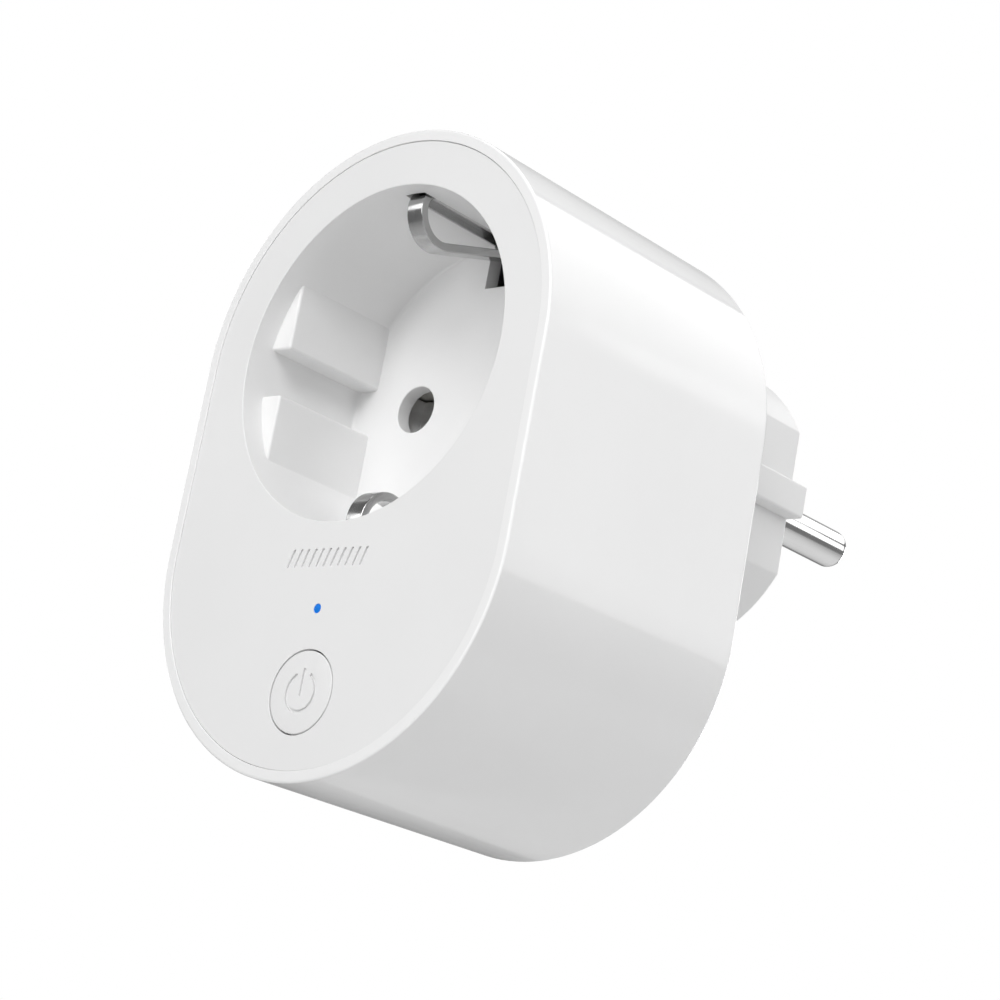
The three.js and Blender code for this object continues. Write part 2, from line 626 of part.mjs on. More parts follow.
function earthSideContact() {
  const outerZ = PLUG_RADIUS - 0.3 - SIDE_CONTACT_THICKNESS / 2;
  const tabY = BRIDGE_BACK + TOUCH + SIDE_CONTACT_THICKNESS / 2;
  const innerZ = RIVET_INNER_Z + 3;
  const path = new THREE.Path();
  path.moveTo(-0.4, outerZ - 0.2);
  path.lineTo(-4, outerZ);
  path.lineTo(EARTH_LEG_Y + 1.4, outerZ);
  path.absarc(EARTH_LEG_Y + 1.4, outerZ - 1.4, 1.4, Math.PI / 2, Math.PI);
  path.lineTo(EARTH_LEG_Y, innerZ + 1);
  path.absarc(EARTH_LEG_Y - 1, innerZ + 1, 1, 0, -Math.PI / 2, true);
  path.absarc(tabY + 1, innerZ - 1, 1, Math.PI / 2, Math.PI);
  path.lineTo(tabY, RIVET_INNER_Z - 2);
  const strip = stripAcrossX(path, SIDE_CONTACT_THICKNESS, around(0, EARTH_GROOVE_WIDTH - 2 * PLAY));
  return cut(strip, rod(EARTH_RIVET_RADIUS + TOUCH, around(tabY, 3), 0, RIVET_INNER_Z, 16));
}

// A rivet along Y through a stack of strips, with a head at each end.
function rivet([y0, y1], z) {
  const head = EARTH_RIVET_RADIUS + 0.6;
  return turned(
    [
      [0, y0 - TOUCH - 0.4],
      [head, y0 - TOUCH - 0.4],
      [head, y0 - TOUCH],
      [EARTH_RIVET_RADIUS, y0 - TOUCH],
      [EARTH_RIVET_RADIUS, y1 + TOUCH],
      [head, y1 + TOUCH],
      [head, y1 + TOUCH + 0.3],
      [0, y1 + TOUCH + 0.3],
    ],
    0,
    z,
    16,
  );
}

const clipStack = [BRIDGE_FRONT - TOUCH - CLIP_THICKNESS, BRIDGE_BACK];
const plugStack = [BRIDGE_FRONT, BRIDGE_BACK + TOUCH + SIDE_CONTACT_THICKNESS];
addPart("earth_clip_top", earthClip(), NICKEL);
addPart("earth_clip_bottom", upsideDown(earthClip()), NICKEL);
addPart("earth_bridge", earthBridge(), BRASS);
addPart("earth_side_contact_top", earthSideContact(), NICKEL);
addPart("earth_side_contact_bottom", upsideDown(earthSideContact()), NICKEL);
addPart("clip_rivet_top", rivet(clipStack, RIVET_TOP_Z), BRASS);
addPart("clip_rivet_bottom", rivet(clipStack, -RIVET_TOP_Z), BRASS);
addPart("plug_rivet_top", rivet(plugStack, RIVET_INNER_Z), BRASS);
addPart("plug_rivet_bottom", rivet(plugStack, -RIVET_INNER_Z), BRASS);

// ---- Busbars ----

const BUS_WIDTH = 4.4;
const BUS_Y = [FORK_BACK + TOUCH, FORK_BACK + TOUCH + BRIDGE_THICKNESS];
const EYE_Y = [EYE_FRONT, EYE_BACK];
const INPUT_BUS_X = [-PLUG_FLAT_X + PLUG_WALL + 0.2, -PIN_X - 0.3]; // the live bar runs down outside the pin

function eye(x) {
  return rod(RIVET_RADIUS + TOUCH, around(EYE_FRONT, 6), x, 0, 16);
}

// From the neutral pin straight forwards to the neutral contact.
function neutralBusbar() {
  const lift = ROOT_RADIUS + 2.2;
  const width = around(PIN_X, BUS_WIDTH);
  const onContact = block(width, BUS_Y, [-2.5, lift]);
  const across = block(width, [BUS_Y[0], EYE_Y[1]], [lift - BRIDGE_THICKNESS, lift]);
  const onPin = block(width, EYE_Y, [-2.2, lift]);
  return cut(join(onContact, across, onPin), eye(PIN_X));
}

// From the live pin down the inside of the back plate to the relay's input.
function liveInputBusbar() {
  const rear = [BACK_PLATE_FRONT - 0.4 - BRIDGE_THICKNESS, BACK_PLATE_FRONT - 0.4];
  const turnZ = -7;
  const onPin = block([INPUT_BUS_X[0], -PIN_X + BUS_WIDTH / 2], EYE_Y, around(0, BUS_WIDTH));
  const down = block(INPUT_BUS_X, EYE_Y, [turnZ, 0]);
  const forwards = block(INPUT_BUS_X, [rear[0], EYE_Y[1]], [turnZ, turnZ + BRIDGE_THICKNESS]);
  const tail = block(INPUT_BUS_X, rear, [BELOW_WELL_Z + 1.5, turnZ + BRIDGE_THICKNESS]);
  return cut(join(onPin, down, forwards, tail), eye(-PIN_X));
}

// From the relay's output up to the live contact, beside the input bar.
function liveOutputBusbar() {
  return block([-PIN_X + 0.2, -PIN_X + 3.8], BUS_Y, [BELOW_WELL_Z + 1.5, 2.5]);
}

addPart("neutral_busbar", neutralBusbar(), COPPER);
addPart("live_input_busbar", liveInputBusbar(), COPPER);
addPart("live_output_busbar", liveOutputBusbar(), COPPER);

// ---- Circuit boards ----

const LOWER_RADIUS = INNER_RADIUS - 0.7;
const POWER_BOARD_TOP = -CARRIER_HALF_HEIGHT - 1.5;

// The lower end of a stadium, cut off level at the given height.
function boardOutline(radius, top) {
  const shape = new THREE.Shape();
  shape.moveTo(radius, top);
  shape.lineTo(-radius, top);
  shape.absarc(0, -ARC_SPACING, radius, Math.PI, 2 * Math.PI);
  shape.closePath();
  return shape;
}

function powerBoard() {
  const board = slab(boardOutline(LOWER_RADIUS, POWER_BOARD_TOP), [POWER_BOARD_FRONT, POWER_BOARD_BACK]);
  const holes = [-1, 1].map((side) =>
    rod(SCREW_SHANK + PLAY, around(POWER_BOARD_FRONT, 6), side * POWER_SCREW.x, POWER_SCREW.z, 16),
  );
  const clipWay = [-CLIP_BACK_Z - CLIP_THICKNESS / 2 - PLAY, POWER_BOARD_TOP + 1];
  const notch = block(around(0, TAB_WIDTH + 2 * PLAY), around(POWER_BOARD_FRONT, 6), clipWay);
  return cut(board, ...holes, notch);
}

// The control board stops short of the straight sides, so its top corners are cut square.
function controlBoard() {
  const y = [CONTROL_BOARD_FRONT, CONTROL_BOARD_BACK];
  const disc = rod(INNER_RADIUS - 2, y, 0, -ARC_SPACING, WELL_STEPS);
  const upper = block(around(0, 2 * (INNER_RADIUS - 3.5)), y, [-ARC_SPACING, BELOW_WELL_Z]);
  const above = block(around(0, 99), around(y[0], 9), [BELOW_WELL_Z, BELOW_WELL_Z + 60]);
  const whole = cut(join(disc, upper), above);
  const holes = [-1, 1].map((side) =>
    rod(SCREW_SHANK + PLAY, around(CONTROL_BOARD_FRONT, 6), side * CONTROL_SCREW.x, CONTROL_SCREW.z, 16),
  );
  return cut(whole, ...holes);
}

addPart("power_board", powerBoard(), BOARD_GREEN);
addPart("control_board", controlBoard(), BOARD_GREEN);
for (const [name, side] of [["left", -1], ["right", 1]]) {
  const power = screw(POWER_BOARD_FRONT, BACK - 0.8, side * POWER_SCREW.x, POWER_SCREW.z);
  const control = screw(CONTROL_BOARD_BACK, PANEL_BACK + 0.6, side * CONTROL_SCREW.x, CONTROL_SCREW.z);
  addPart(`power_board_screw_${name}`, power, STEEL);
  addPart(`control_board_screw_${name}`, control, STEEL);
}

// ---- Relay ----

const RELAY_BASE = POWER_BOARD_FRONT - TOUCH;
const RELAY_TOP_Z = BELOW_WELL_Z;
const RELAY_Z = RELAY_TOP_Z - RELAY_SIZE[2] / 2;
const relayHeight = ([low, high]) => [RELAY_BASE - high, RELAY_BASE - low]; // heights above the board
const relayLength = ([start, end]) => [RELAY_Z - end, RELAY_Z - start]; // along the relay, hinge end first
const HINGE_HEIGHT = 12.4;
const HINGE_AT = -7.7;
const POLE_AT = -1.5;
const POLE_HEIGHT = HINGE_HEIGHT + 0.05 - RELAY_GAP;
const CONTACT_AT = 7;

function relayCase() {
  const [width, height, length] = RELAY_SIZE;
  const outer = block(around(0, width), relayHeight([1.5, height]), around(RELAY_Z, length));
  const inner = block(around(0, width - 1.6), relayHeight([1, height - 0.8]), around(RELAY_Z, length - 1.6));
  return cut(outer, inner);
}

function relayBase() {
  const [width, , length] = RELAY_SIZE;
  return block(around(0, width), relayHeight([0, 1.4]), around(RELAY_Z, length));
}

function relayCoil() {
  const [flange, winding, bore] = [5.2, 4.7, 2.15];
  const [low, high] = [3, POLE_HEIGHT - 1];
  const heights = [[high, flange], [high - 0.7, flange], [high - 0.7, winding], [low + 0.7, winding]];
  const outside = [...heights, [low + 0.7, flange], [low, flange]];
  const profile = [[low, bore], [high, bore], ...outside, [low, bore]];
  const points = profile.map(([height, radius]) => [radius, RELAY_BASE - height]);
  return turned(points, 0, RELAY_Z - POLE_AT);
}

function relayCore() {
  return turned(
    [
      [0, RELAY_BASE - POLE_HEIGHT],
      [3.2, RELAY_BASE - POLE_HEIGHT],
      [3.2, RELAY_BASE - POLE_HEIGHT + 0.8],
      [2, RELAY_BASE - POLE_HEIGHT + 0.8],
      [2, RELAY_BASE - 2.8],
      [0, RELAY_BASE - 2.8],
    ],
    0,
    RELAY_Z - POLE_AT,
  );
}

function relayYoke() {
  const width = around(0, 9);
  const foot = block(width, relayHeight([1.5, 2.7]), relayLength([-8.3, 4]));
  const post = block(width, relayHeight([1.5, HINGE_HEIGHT - 0.1]), relayLength([-8.3, -7.1]));
  return join(foot, post);
}

function relayArmature() {
  const height = relayHeight([HINGE_HEIGHT + 0.05, HINGE_HEIGHT + 1.15]);
  return block(around(0, 9), height, relayLength([-8.2, 2.6]));
}

function relayMovingContact() {
  const armHeight = [HINGE_HEIGHT + 1.2, HINGE_HEIGHT + 1.5];
  const arm = block(around(0, 4), relayHeight(armHeight), relayLength([-5, 8.2]));
  const button = rod(1.2, relayHeight([HINGE_HEIGHT - 0.1, HINGE_HEIGHT + 1.3]), 0, RELAY_Z - CONTACT_AT, 16);
  return join(arm, button);
}

function relayFixedContact() {
  const swing = (CONTACT_AT - HINGE_AT + 1.2) * Math.sin((RELAY_SWING * Math.PI) / 180);
  const top = HINGE_HEIGHT - 0.1 - swing - 0.1;
  const post = block(around(0, 3), relayHeight([1.5, top - 0.6]), relayLength([6.4, 7.6]));
  const button = rod(1.2, relayHeight([top - 0.9, top]), 0, RELAY_Z - CONTACT_AT, 16);
  return join(post, button);
}

addPart("relay_base", relayBase(), BLACK_PLASTIC);
addPart("relay_case", relayCase(), RELAY_BLUE);
addPart("relay_coil", relayCoil(), COPPER);
addPart("relay_core", relayCore(), STEEL);
addPart("relay_yoke", relayYoke(), STEEL);
addPart("relay_armature", relayArmature(), STEEL);
addPart("relay_moving_contact", relayMovingContact(), COPPER);
addPart("relay_fixed_contact", relayFixedContact(), BRASS);

// ---- Supply, filter and measuring parts on the power board ----

const boardHeight = (height) => [POWER_BOARD_FRONT - TOUCH - height, POWER_BOARD_FRONT - TOUCH];
const BESIDE_RELAY = RELAY_SIZE[0] / 2 + 0.8;
const belowTop = (distance) => POWER_BOARD_TOP - distance;

// Two E-shaped halves make a block with two windows, and the winding passes through both.
const transformer = { x: BESIDE_RELAY + 4.6, z: BELOW_WELL_Z - 5.4, width: 9.2, length: 10.4, height: 9.6 };

function transformerCore() {
  const { x, z, width, length, height } = transformer;
  const y = boardHeight(height);
  const middle = (y[0] + y[1]) / 2;
  const body = block(around(x, width), y, around(z, length * 0.5));
  const windows = [-1, 1].map((side) =>
    block(around(x + side * 2.6, 2.6), around(middle, 6.4), around(z, 99)),
  );
  return cut(body, ...windows);
}

function transformerWinding() {
  const { x, z, height, length } = transformer;
  const y = boardHeight(height);
  const middle = (y[0] + y[1]) / 2;
  const ring = block(around(x, 7.2), around(middle, 5.8), around(z, length));
  return cut(ring, block(around(x, 3), around(middle, 99), around(z, length * 0.5 + 0.6)));
}

// A round can with a rolled groove near its foot.
function capacitorCan(radius, height, x, z) {
  const [top, foot] = boardHeight(height);
  return turned(
    [
      [0, top],
      [radius - 0.4, top],
      [radius, top + 0.4],
      [radius, foot - 2],
      [radius - 0.4, foot - 1.5],
      [radius, foot - 1],
      [radius, foot],
      [0, foot],
    ],
    x,
    z,
  );
}

function fuse() {
  const length = 9;
  const geometry = new THREE.CylinderGeometry(1.7, 1.7, length, 16);
  geometry.rotateZ(Math.PI / 2);
  geometry.translate(9.6, POWER_BOARD_FRONT - 2, belowTop(2.2));
  return toSolid(geometry);
}

function varistor() {
  const geometry = new THREE.CylinderGeometry(3.3, 3.3, 2.6, 20);
  geometry.rotateZ(Math.PI / 2);
  geometry.translate(BESIDE_RELAY + 11.4, POWER_BOARD_FRONT - 3.8, BELOW_WELL_Z - 4.2);
  return toSolid(geometry);
}

function shunt() {
  const [x, z] = [-6.4, belowTop(4)];
  const strip = block(around(x, 5), boardHeight(2.8), around(z, 2.4));
  return cut(strip, block(around(x, 3.6), [POWER_BOARD_FRONT - 2.2, POWER_BOARD_FRONT + 1], around(z, 5)));
}

addPart("transformer_core", transformerCore(), FERRITE);
addPart("transformer_winding", transformerWinding(), COIL_TAPE);
addPart("filter_capacitor", capacitorCan(4, 12, -BESIDE_RELAY - 4.2, BELOW_WELL_Z - 4.6), CAN_SLEEVE);
addPart("output_capacitor", capacitorCan(3.1, 11, -BESIDE_RELAY - 3.4, BELOW_WELL_Z - 12.4), CAN_SLEEVE);
const filmX = [-BESIDE_RELAY - 12.9, -BESIDE_RELAY - 8.7];
const filmCapacitor = block(filmX, boardHeight(9), [BELOW_WELL_Z - 7.2, BELOW_WELL_Z]);
addPart("film_capacitor", filmCapacitor, FILM_YELLOW);
addPart("varistor", varistor(), CERAMIC);
addPart("fuse", fuse(), CERAMIC);
addPart("bridge_rectifier", block(around(-12.4, 5), boardHeight(2.5), around(belowTop(5), 6)), BLACK_PLASTIC);
addPart("metering_chip", block(around(10.5, 6), boardHeight(1.6), around(belowTop(6.6), 4)), BLACK_PLASTIC);
addPart("current_shunt", shunt(), BRASS);

// ---- Radio module, board link and insulating sheet ----

const RADIO_WIDTH = 10;
const RADIO_RIGHT = CONTROL_SCREW.x - BOSS_RADIUS - PLAY; // just clear of the front cover's screw boss
const RADIO_X = [RADIO_RIGHT - RADIO_WIDTH, RADIO_RIGHT];
const RADIO_Z = [LAMP_Z - 6.7, LAMP_Z + 4.3];
const RADIO_BOARD_Y = [CONTROL_BOARD_FRONT - TOUCH - 0.8, CONTROL_BOARD_FRONT - TOUCH];

function radioShield() {
  const y = [RADIO_BOARD_Y[0] - TOUCH - 2, RADIO_BOARD_Y[0] - TOUCH];
  const sheet = 0.3;
  const x = [RADIO_X[0] + 0.5, RADIO_X[1] - 0.5];
  const z = [RADIO_Z[0] + 0.5, RADIO_Z[1] - 3.5];
  const inside = block([x[0] + sheet, x[1] - sheet], [y[0] + sheet, y[1] + 1], [z[0] + sheet, z[1] - sheet]);
  return cut(block(x, y, z), inside);
}

const linkX = around(BESIDE_RELAY + 3, 5);
const linkZ = around(BELOW_WELL_Z - 13.6, 2.4);
const boardLink = block(linkX, [CONTROL_BOARD_BACK + TOUCH, POWER_BOARD_FRONT - TOUCH], linkZ);
const sheetHalf = INNER_RADIUS - 4;
const sheetZ = [-CARRIER_HALF_HEIGHT - 0.9, -CARRIER_HALF_HEIGHT - 0.4];
const sheet = block(around(0, 2 * sheetHalf), [CARRIER_FRONT, POWER_BOARD_FRONT - PLAY], sheetZ);
addPart("radio_module_board", block(RADIO_X, RADIO_BOARD_Y, RADIO_Z), BOARD_GREEN);
addPart("radio_shield", radioShield(), STEEL);
addPart("board_link", boardLink, BLACK_PLASTIC);
addPart("insulating_sheet", sheet, INNER_PLASTIC);

export default plug;
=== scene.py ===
"""The looks of a smart plug: fine meshes, materials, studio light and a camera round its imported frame.

Meshes are drawn in millimetres and scaled to metres when they are placed. Front is -Y, the plug's pins
point along +Y, and Z is up.
"""
import math

import bmesh
import bpy
from mathutils import Matrix, Vector

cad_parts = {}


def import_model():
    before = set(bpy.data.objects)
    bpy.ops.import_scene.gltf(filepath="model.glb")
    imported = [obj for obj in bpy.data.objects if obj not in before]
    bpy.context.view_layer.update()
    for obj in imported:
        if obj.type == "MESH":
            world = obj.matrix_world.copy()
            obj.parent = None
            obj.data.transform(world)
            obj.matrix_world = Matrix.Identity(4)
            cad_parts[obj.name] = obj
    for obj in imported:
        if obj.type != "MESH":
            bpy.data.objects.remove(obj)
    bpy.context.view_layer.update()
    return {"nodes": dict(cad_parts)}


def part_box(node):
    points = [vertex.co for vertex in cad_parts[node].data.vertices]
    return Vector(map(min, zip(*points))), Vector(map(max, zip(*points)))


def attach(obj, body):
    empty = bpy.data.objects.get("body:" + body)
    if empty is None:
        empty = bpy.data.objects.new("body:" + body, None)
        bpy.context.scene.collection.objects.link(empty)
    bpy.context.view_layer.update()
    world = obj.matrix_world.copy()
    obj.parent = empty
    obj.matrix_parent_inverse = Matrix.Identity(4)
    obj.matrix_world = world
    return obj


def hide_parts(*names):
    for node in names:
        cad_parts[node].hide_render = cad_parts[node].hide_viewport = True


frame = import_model()

MM = 0.001


def span(node, axis):
    """Where a CAD node begins and ends along an axis, in millimetres."""
    low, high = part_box(node)
    return getattr(low, axis) / MM, getattr(high, axis) / MM


def middle(node, axis):
    return sum(span(node, axis)) / 2


# ---- Sizes, from the frame where it gives them ----

BODY_RADIUS = span("outer_shell", "x")[1]
FRONT, BACK = span("outer_shell", "y")
BODY_LOW, BODY_HIGH = span("outer_shell", "z")
ARC_SPACING = BODY_HIGH - BODY_LOW - 2 * BODY_RADIUS
SHELL_WALL = 1.9
RIM_WIDTH = 1.32
PANEL_RADIUS = span("front_cover", "x")[1]
PANEL_FRONT = span("front_cover", "y")[0]
PANEL_BACK = PANEL_FRONT + 1.8
BACK_PLATE_FRONT = BACK - 2

WELL_RADIUS = 19.65
FLOOR_FRONT = FRONT + 17.9
FLOOR_BACK = FLOOR_FRONT + 1.9
CUP_RADIUS = WELL_RADIUS + 1.6
RIB_FLAT_X = 16.5
RIB_GROOVE = 2.8
RIB_FRONT = PANEL_FRONT + 3
PIN_X = middle("neutral_pin", "x")
PIN_RADIUS = 2.4
PIN_TIP = span("neutral_pin", "y")[1]
PIN_HOLE_RADIUS = PIN_RADIUS + 0.45
CLIP_SLOT_HALF = 1.5
CLIP_SLOT_FRONT = PANEL_FRONT + 2.3
CLIP_REACH = 5.2

BUTTON_Z = middle("power_button", "z")
BUTTON_RADIUS = 4.6
BUTTON_GAP = 0.15
BUTTON_BACK = span("power_button", "y")[1]
LAMP_Z = middle("light_pipe", "z")
LAMP_RADIUS = 0.52
SYMBOL_RADIUS = 2.15
SYMBOL_LINE = 0.4
SYMBOL_DEPTH = 0.25
BAR_DEPTH = 0.25

PLUG_RADIUS = 18.3
PLUG_FLAT_X = 16
RIDGE_X = 18.2
RIDGE_HALF = 2
PLUG_WALL = 2
PLUG_FILLET = 0.6
RIDGE_FILLET = 0.3
GROOVE_HALF = 3.2
GROOVE_FLOOR = 16.4

BOSS_RADIUS = 2.4
PILOT_RADIUS = 0.95
CONTROL_BOSS_HEIGHT = 4.95
CARRIER_BOSS_HEIGHT = 3.2
POWER_BOSS_HEIGHT = 2.45
OVERLAP = 0.5  # how far a piece reaches into the one that it is joined to
CONTACT_THICKNESS = 1.0
RIVET_HOLE_RADIUS = 1.05
SHARP_ANGLE = 32  # degrees between two faces above which their edge stays sharp
STRIP_EDGE = 0.14  # rounding along the edges of sheet metal
BODY_STEPS = 72
ROUND_STEPS = 96
CORNER_STEPS = 6


# ---- Outlines ----

def rounded(points, steps=CORNER_STEPS):
    """The points (u, v, radius) with each corner turned into an arc of its radius."""
    outline = []
    for i, (u, v, radius) in enumerate(points):
        corner = Vector((u, v))
        if not radius:
            outline.append(corner)
            continue
        back = (Vector(points[i - 1][:2]) - corner).normalized()
        on = (Vector(points[(i + 1) % len(points)][:2]) - corner).normalized()
        half = back.angle(on) / 2
        centre = corner + (back + on).normalized() * (radius / math.sin(half))
        start = corner + back * (radius / math.tan(half)) - centre
        end = corner + on * (radius / math.tan(half)) - centre
        first = math.atan2(start.y, start.x)
        turn = math.atan2(start.x * end.y - start.y * end.x, start.dot(end))
        for step in range(steps + 1):
            angle = first + turn * step / steps
            outline.append(centre + radius * Vector((math.cos(angle), math.sin(angle))))
    return [p for i, p in enumerate(outline) if i == 0 or (p - outline[i - 1]).length > 1e-4]


def arc(centre, radius, start, end, steps):
    """Points of an arc between two angles in degrees."""
    angles = [math.radians(start + (end - start) * i / steps) for i in range(steps + 1)]
    return [Vector((centre[0] + radius * math.cos(a), centre[1] + radius * math.sin(a))) for a in angles]


def stadium_ring(radius, y):
    """The body's outline: half circles about two centres, one above the other."""
    upper = arc((0, 0), radius, 0, 180, BODY_STEPS)
    lower = arc((0, -ARC_SPACING), radius, 180, 360, BODY_STEPS)
    return [(p.x, y, p.y) for p in upper + lower]


def circle_ring(radius, y, x=0.0, z=0.0, steps=ROUND_STEPS):
    return [(p.x, y, p.y) for p in arc((x, z), radius, 0, 360, steps)[:-1]]


# ---- Meshes ----

def placed(name, mesh_data):
    """Scales a bmesh drawn in millimetres and puts it into the scene."""
    bmesh.ops.recalc_face_normals(mesh_data, faces=mesh_data.faces)
    mesh_data.transform(Matrix.Scale(MM, 4))
    mesh = bpy.data.meshes.new(name)
    mesh_data.to_mesh(mesh)
    mesh_data.free()
    piece = bpy.data.objects.new(name, mesh)
    bpy.context.scene.collection.objects.link(piece)
    return piece


def swept(name, rings, closed=False):
    """A skin over rings of equally many points; its ends are capped unless it closes on itself."""
    skin = bmesh.new()
    loops = [[skin.verts.new(p) for p in ring] for ring in rings]
    pairs = list(zip(loops, loops[1:]))
    if closed:
        pairs.append((loops[-1], loops[0]))
    else:
        skin.faces.new(loops[0])
        skin.faces.new(loops[-1])
    for one, two in pairs:
        for i in range(len(one)):
            j = (i + 1) % len(one)
            skin.faces.new((one[i], one[j], two[j], two[i]))
    return placed(name, skin)


def turned(name, profile, x=0.0, z=0.0, steps=ROUND_STEPS):
    """A turned solid about an axis along Y; the profile's points are (radius, y, corner radius)."""
    return swept(name, [circle_ring(r, y, x, z, steps) for r, y in rounded(profile)])


def rod(radius, y, x=0.0, z=0.0, steps=32):
    return swept("rod", [circle_ring(radius, end, x, z, steps) for end in y])


def prism(name, outline, y, edge=0.0):
    """An outline in the XZ plane carried along Y, with its end edges rounded."""
    solid = bmesh.new()
    base = solid.faces.new([solid.verts.new((u, y[0], v)) for u, v in outline])
    top = bmesh.ops.extrude_face_region(solid, geom=[base])["geom"]
    moved = [item for item in top if isinstance(item, bmesh.types.BMVert)]
    bmesh.ops.translate(solid, verts=moved, vec=(0, y[1] - y[0], 0))
    if edge:
        rims = [e for e in solid.edges if abs(e.verts[0].co.y - e.verts[1].co.y) < 1e-6]
        bmesh.ops.bevel(solid, geom=rims, offset=edge, segments=4, profile=0.5, affect="EDGES")
    return placed(name, solid)


def block(x, y, z, edge=0.0):
    """A block with all its edges rounded, for joining to or cutting from another piece."""
    solid = bmesh.new()
    bmesh.ops.create_cube(solid, size=1)
    size = Matrix.Diagonal((x[1] - x[0], y[1] - y[0], z[1] - z[0], 1))
    place = Matrix.Translation((sum(x) / 2, sum(y) / 2, sum(z) / 2))
    solid.transform(place @ size)
    if edge:
        bmesh.ops.bevel(solid, geom=solid.edges[:], offset=edge, segments=4, profile=0.5, affect="EDGES")
    return placed("block", solid)


def ribbon(name, path, width, thickness, place):
    """Sheet metal bent along a path (u, v); place(u, v, w) gives a point of the frame."""
    half_w, half_t = width / 2, thickness / 2
    corners = [(-half_w, -half_t), (half_w, -half_t), (half_w, half_t), (-half_w, half_t)]
    section = rounded([(w, t, STRIP_EDGE) for w, t in corners], steps=3)
    ways = [(b - a).normalized() for a, b in zip(path, path[1:])]
    rings = []
    for i, point in enumerate(path):
        before, after = ways[max(i - 1, 0)], ways[min(i, len(ways) - 1)]
        along = (before + after).normalized()
        across = Vector((-along.y, along.x)) / along.dot(before)
        rings.append([place(*(point + across * t), w) for w, t in section])
    return swept(name, rings)


def combined(piece, others, operation):
    """Joins other solids to a piece, or cuts them from it, and removes them."""
    for other in others:
        step = piece.modifiers.new("combine", "BOOLEAN")
        step.operation = operation
        step.solver = "MANIFOLD"
        step.object = other
    result = piece.evaluated_get(bpy.context.evaluated_depsgraph_get())
    mesh = bpy.data.meshes.new_from_object(result)
    piece.modifiers.clear()
    piece.data = mesh
    for other in others:
        bpy.data.objects.remove(other)
    return piece


def joined(piece, *others):
    return combined(piece, others, "UNION")


def cut(piece, *others):
    return combined(piece, others, "DIFFERENCE")


def mirrored(piece, axis):
    """A copy of a piece across the plane through the origin that faces the axis."""
    copy = bpy.data.objects.new(piece.name + ".mirrored", piece.data.copy())
    bpy.context.scene.collection.objects.link(copy)
    copy.data.transform(Matrix.Scale(-1, 4, axis))
    copy.data.flip_normals()
    return copy


def finished(piece, name, material, body, slot, *nodes):
    """Shades a piece, ties it to its body and hides the CAD nodes it stands for; the slot argument is not
    used.
    """
    piece.name = name
    piece.data.name = name
    piece.data.materials.clear()
    piece.data.materials.append(material)
    piece.data.shade_smooth()
    piece.data.set_sharp_from_angle(angle=math.radians(SHARP_ANGLE))
    weighted = piece.modifiers.new("face_weighted_normals", "WEIGHTED_NORMAL")
    weighted.keep_sharp = True
    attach(piece, body)
    if nodes:
        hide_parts(*nodes)
    return piece


# ---- Materials ----

class Finish:
    """A Principled material whose surface detail is drawn by nodes in the object's own space."""

    def __init__(self, name, color, roughness, **sockets):
        self.material = bpy.data.materials.new(name)
        self.material.use_nodes = True
        self.material.diffuse_color = (*color, 1)
        self.nodes = self.material.node_tree.nodes
        self.links = self.material.node_tree.links
        self.shader = self.nodes["Principled BSDF"]
        self.shader.inputs["Base Color"].default_value = (*color, 1)
        self.shader.inputs["Roughness"].default_value = roughness
        for socket, value in sockets.items():
            self.shader.inputs[socket.replace("_", " ")].default_value = value
        self.space = self.nodes.new("ShaderNodeTexCoord").outputs["Object"]
        self.relief = None

    def stretched(self, stretch):
        """The object's space, drawn out along its axes."""
        mapping = self.nodes.new("ShaderNodeMapping")
        mapping.inputs["Scale"].default_value = stretch
        self.links.new(self.space, mapping.inputs["Vector"])
        return mapping.outputs["Vector"]

    def noise(self, feature, detail=2.0, stretch=(1, 1, 1)):
        """Noise whose features are about this many millimetres across."""
        node = self.nodes.new("ShaderNodeTexNoise")
        node.inputs["Scale"].default_value = 1 / (feature * MM)
        node.inputs["Detail"].default_value = detail
        self.links.new(self.stretched(stretch), node.inputs["Vector"])
        return node.outputs["Fac"]

    def cells(self, feature, stretch=(1, 1, 1), kind="F1"):
        node = self.nodes.new("ShaderNodeTexVoronoi")
        node.feature = kind
        node.inputs["Scale"].default_value = 1 / (feature * MM)
        self.links.new(self.stretched(stretch), node.inputs["Vector"])
        return node.outputs["Distance"]

    def remapped(self, source, start, end, low, high):
        node = self.nodes.new("ShaderNodeMapRange")
        for socket, value in zip(("From Min", "From Max", "To Min", "To Max"), (start, end, low, high)):
            node.inputs[socket].default_value = value
        self.links.new(source, node.inputs["Value"])
        return node.outputs["Result"]

    def uneven_gloss(self, feature, low, high, stretch=(1, 1, 1)):
        """Roughness that drifts between two values."""
        drift = self.remapped(self.noise(feature, 4.0, stretch), 0.35, 0.65, low, high)
        self.links.new(drift, self.shader.inputs["Roughness"])
        return self

    def bumps(self, source, height, strength=1.0):
        """Adds relief of this height, in millimetres, on top of what is already there."""
        node = self.nodes.new("ShaderNodeBump")
        node.inputs["Strength"].default_value = strength
        node.inputs["Distance"].default_value = height * MM
        self.links.new(source, node.inputs["Height"])
        if self.relief:
            self.links.new(self.relief, node.inputs["Normal"])
        self.relief = node.outputs["Normal"]
        self.links.new(self.relief, self.shader.inputs["Normal"])
        return self

    def tinted(self, source, stops):
        """Base colour from a ramp of (position, colour) stops."""
        ramp = self.nodes.new("ShaderNodeValToRGB")
        elements = ramp.color_ramp.elements
        while len(elements) < len(stops):
            elements.new(0.5)
        for element, (position, color) in zip(elements, stops):
            element.position = position
            element.color = (*color, 1)
        self.links.new(source, ramp.inputs["Fac"])
        self.links.new(ramp.outputs["Color"], self.shader.inputs["Base Color"])
        return self


def shade(color, factor):
    return tuple(min(1.0, c * factor) for c in color)


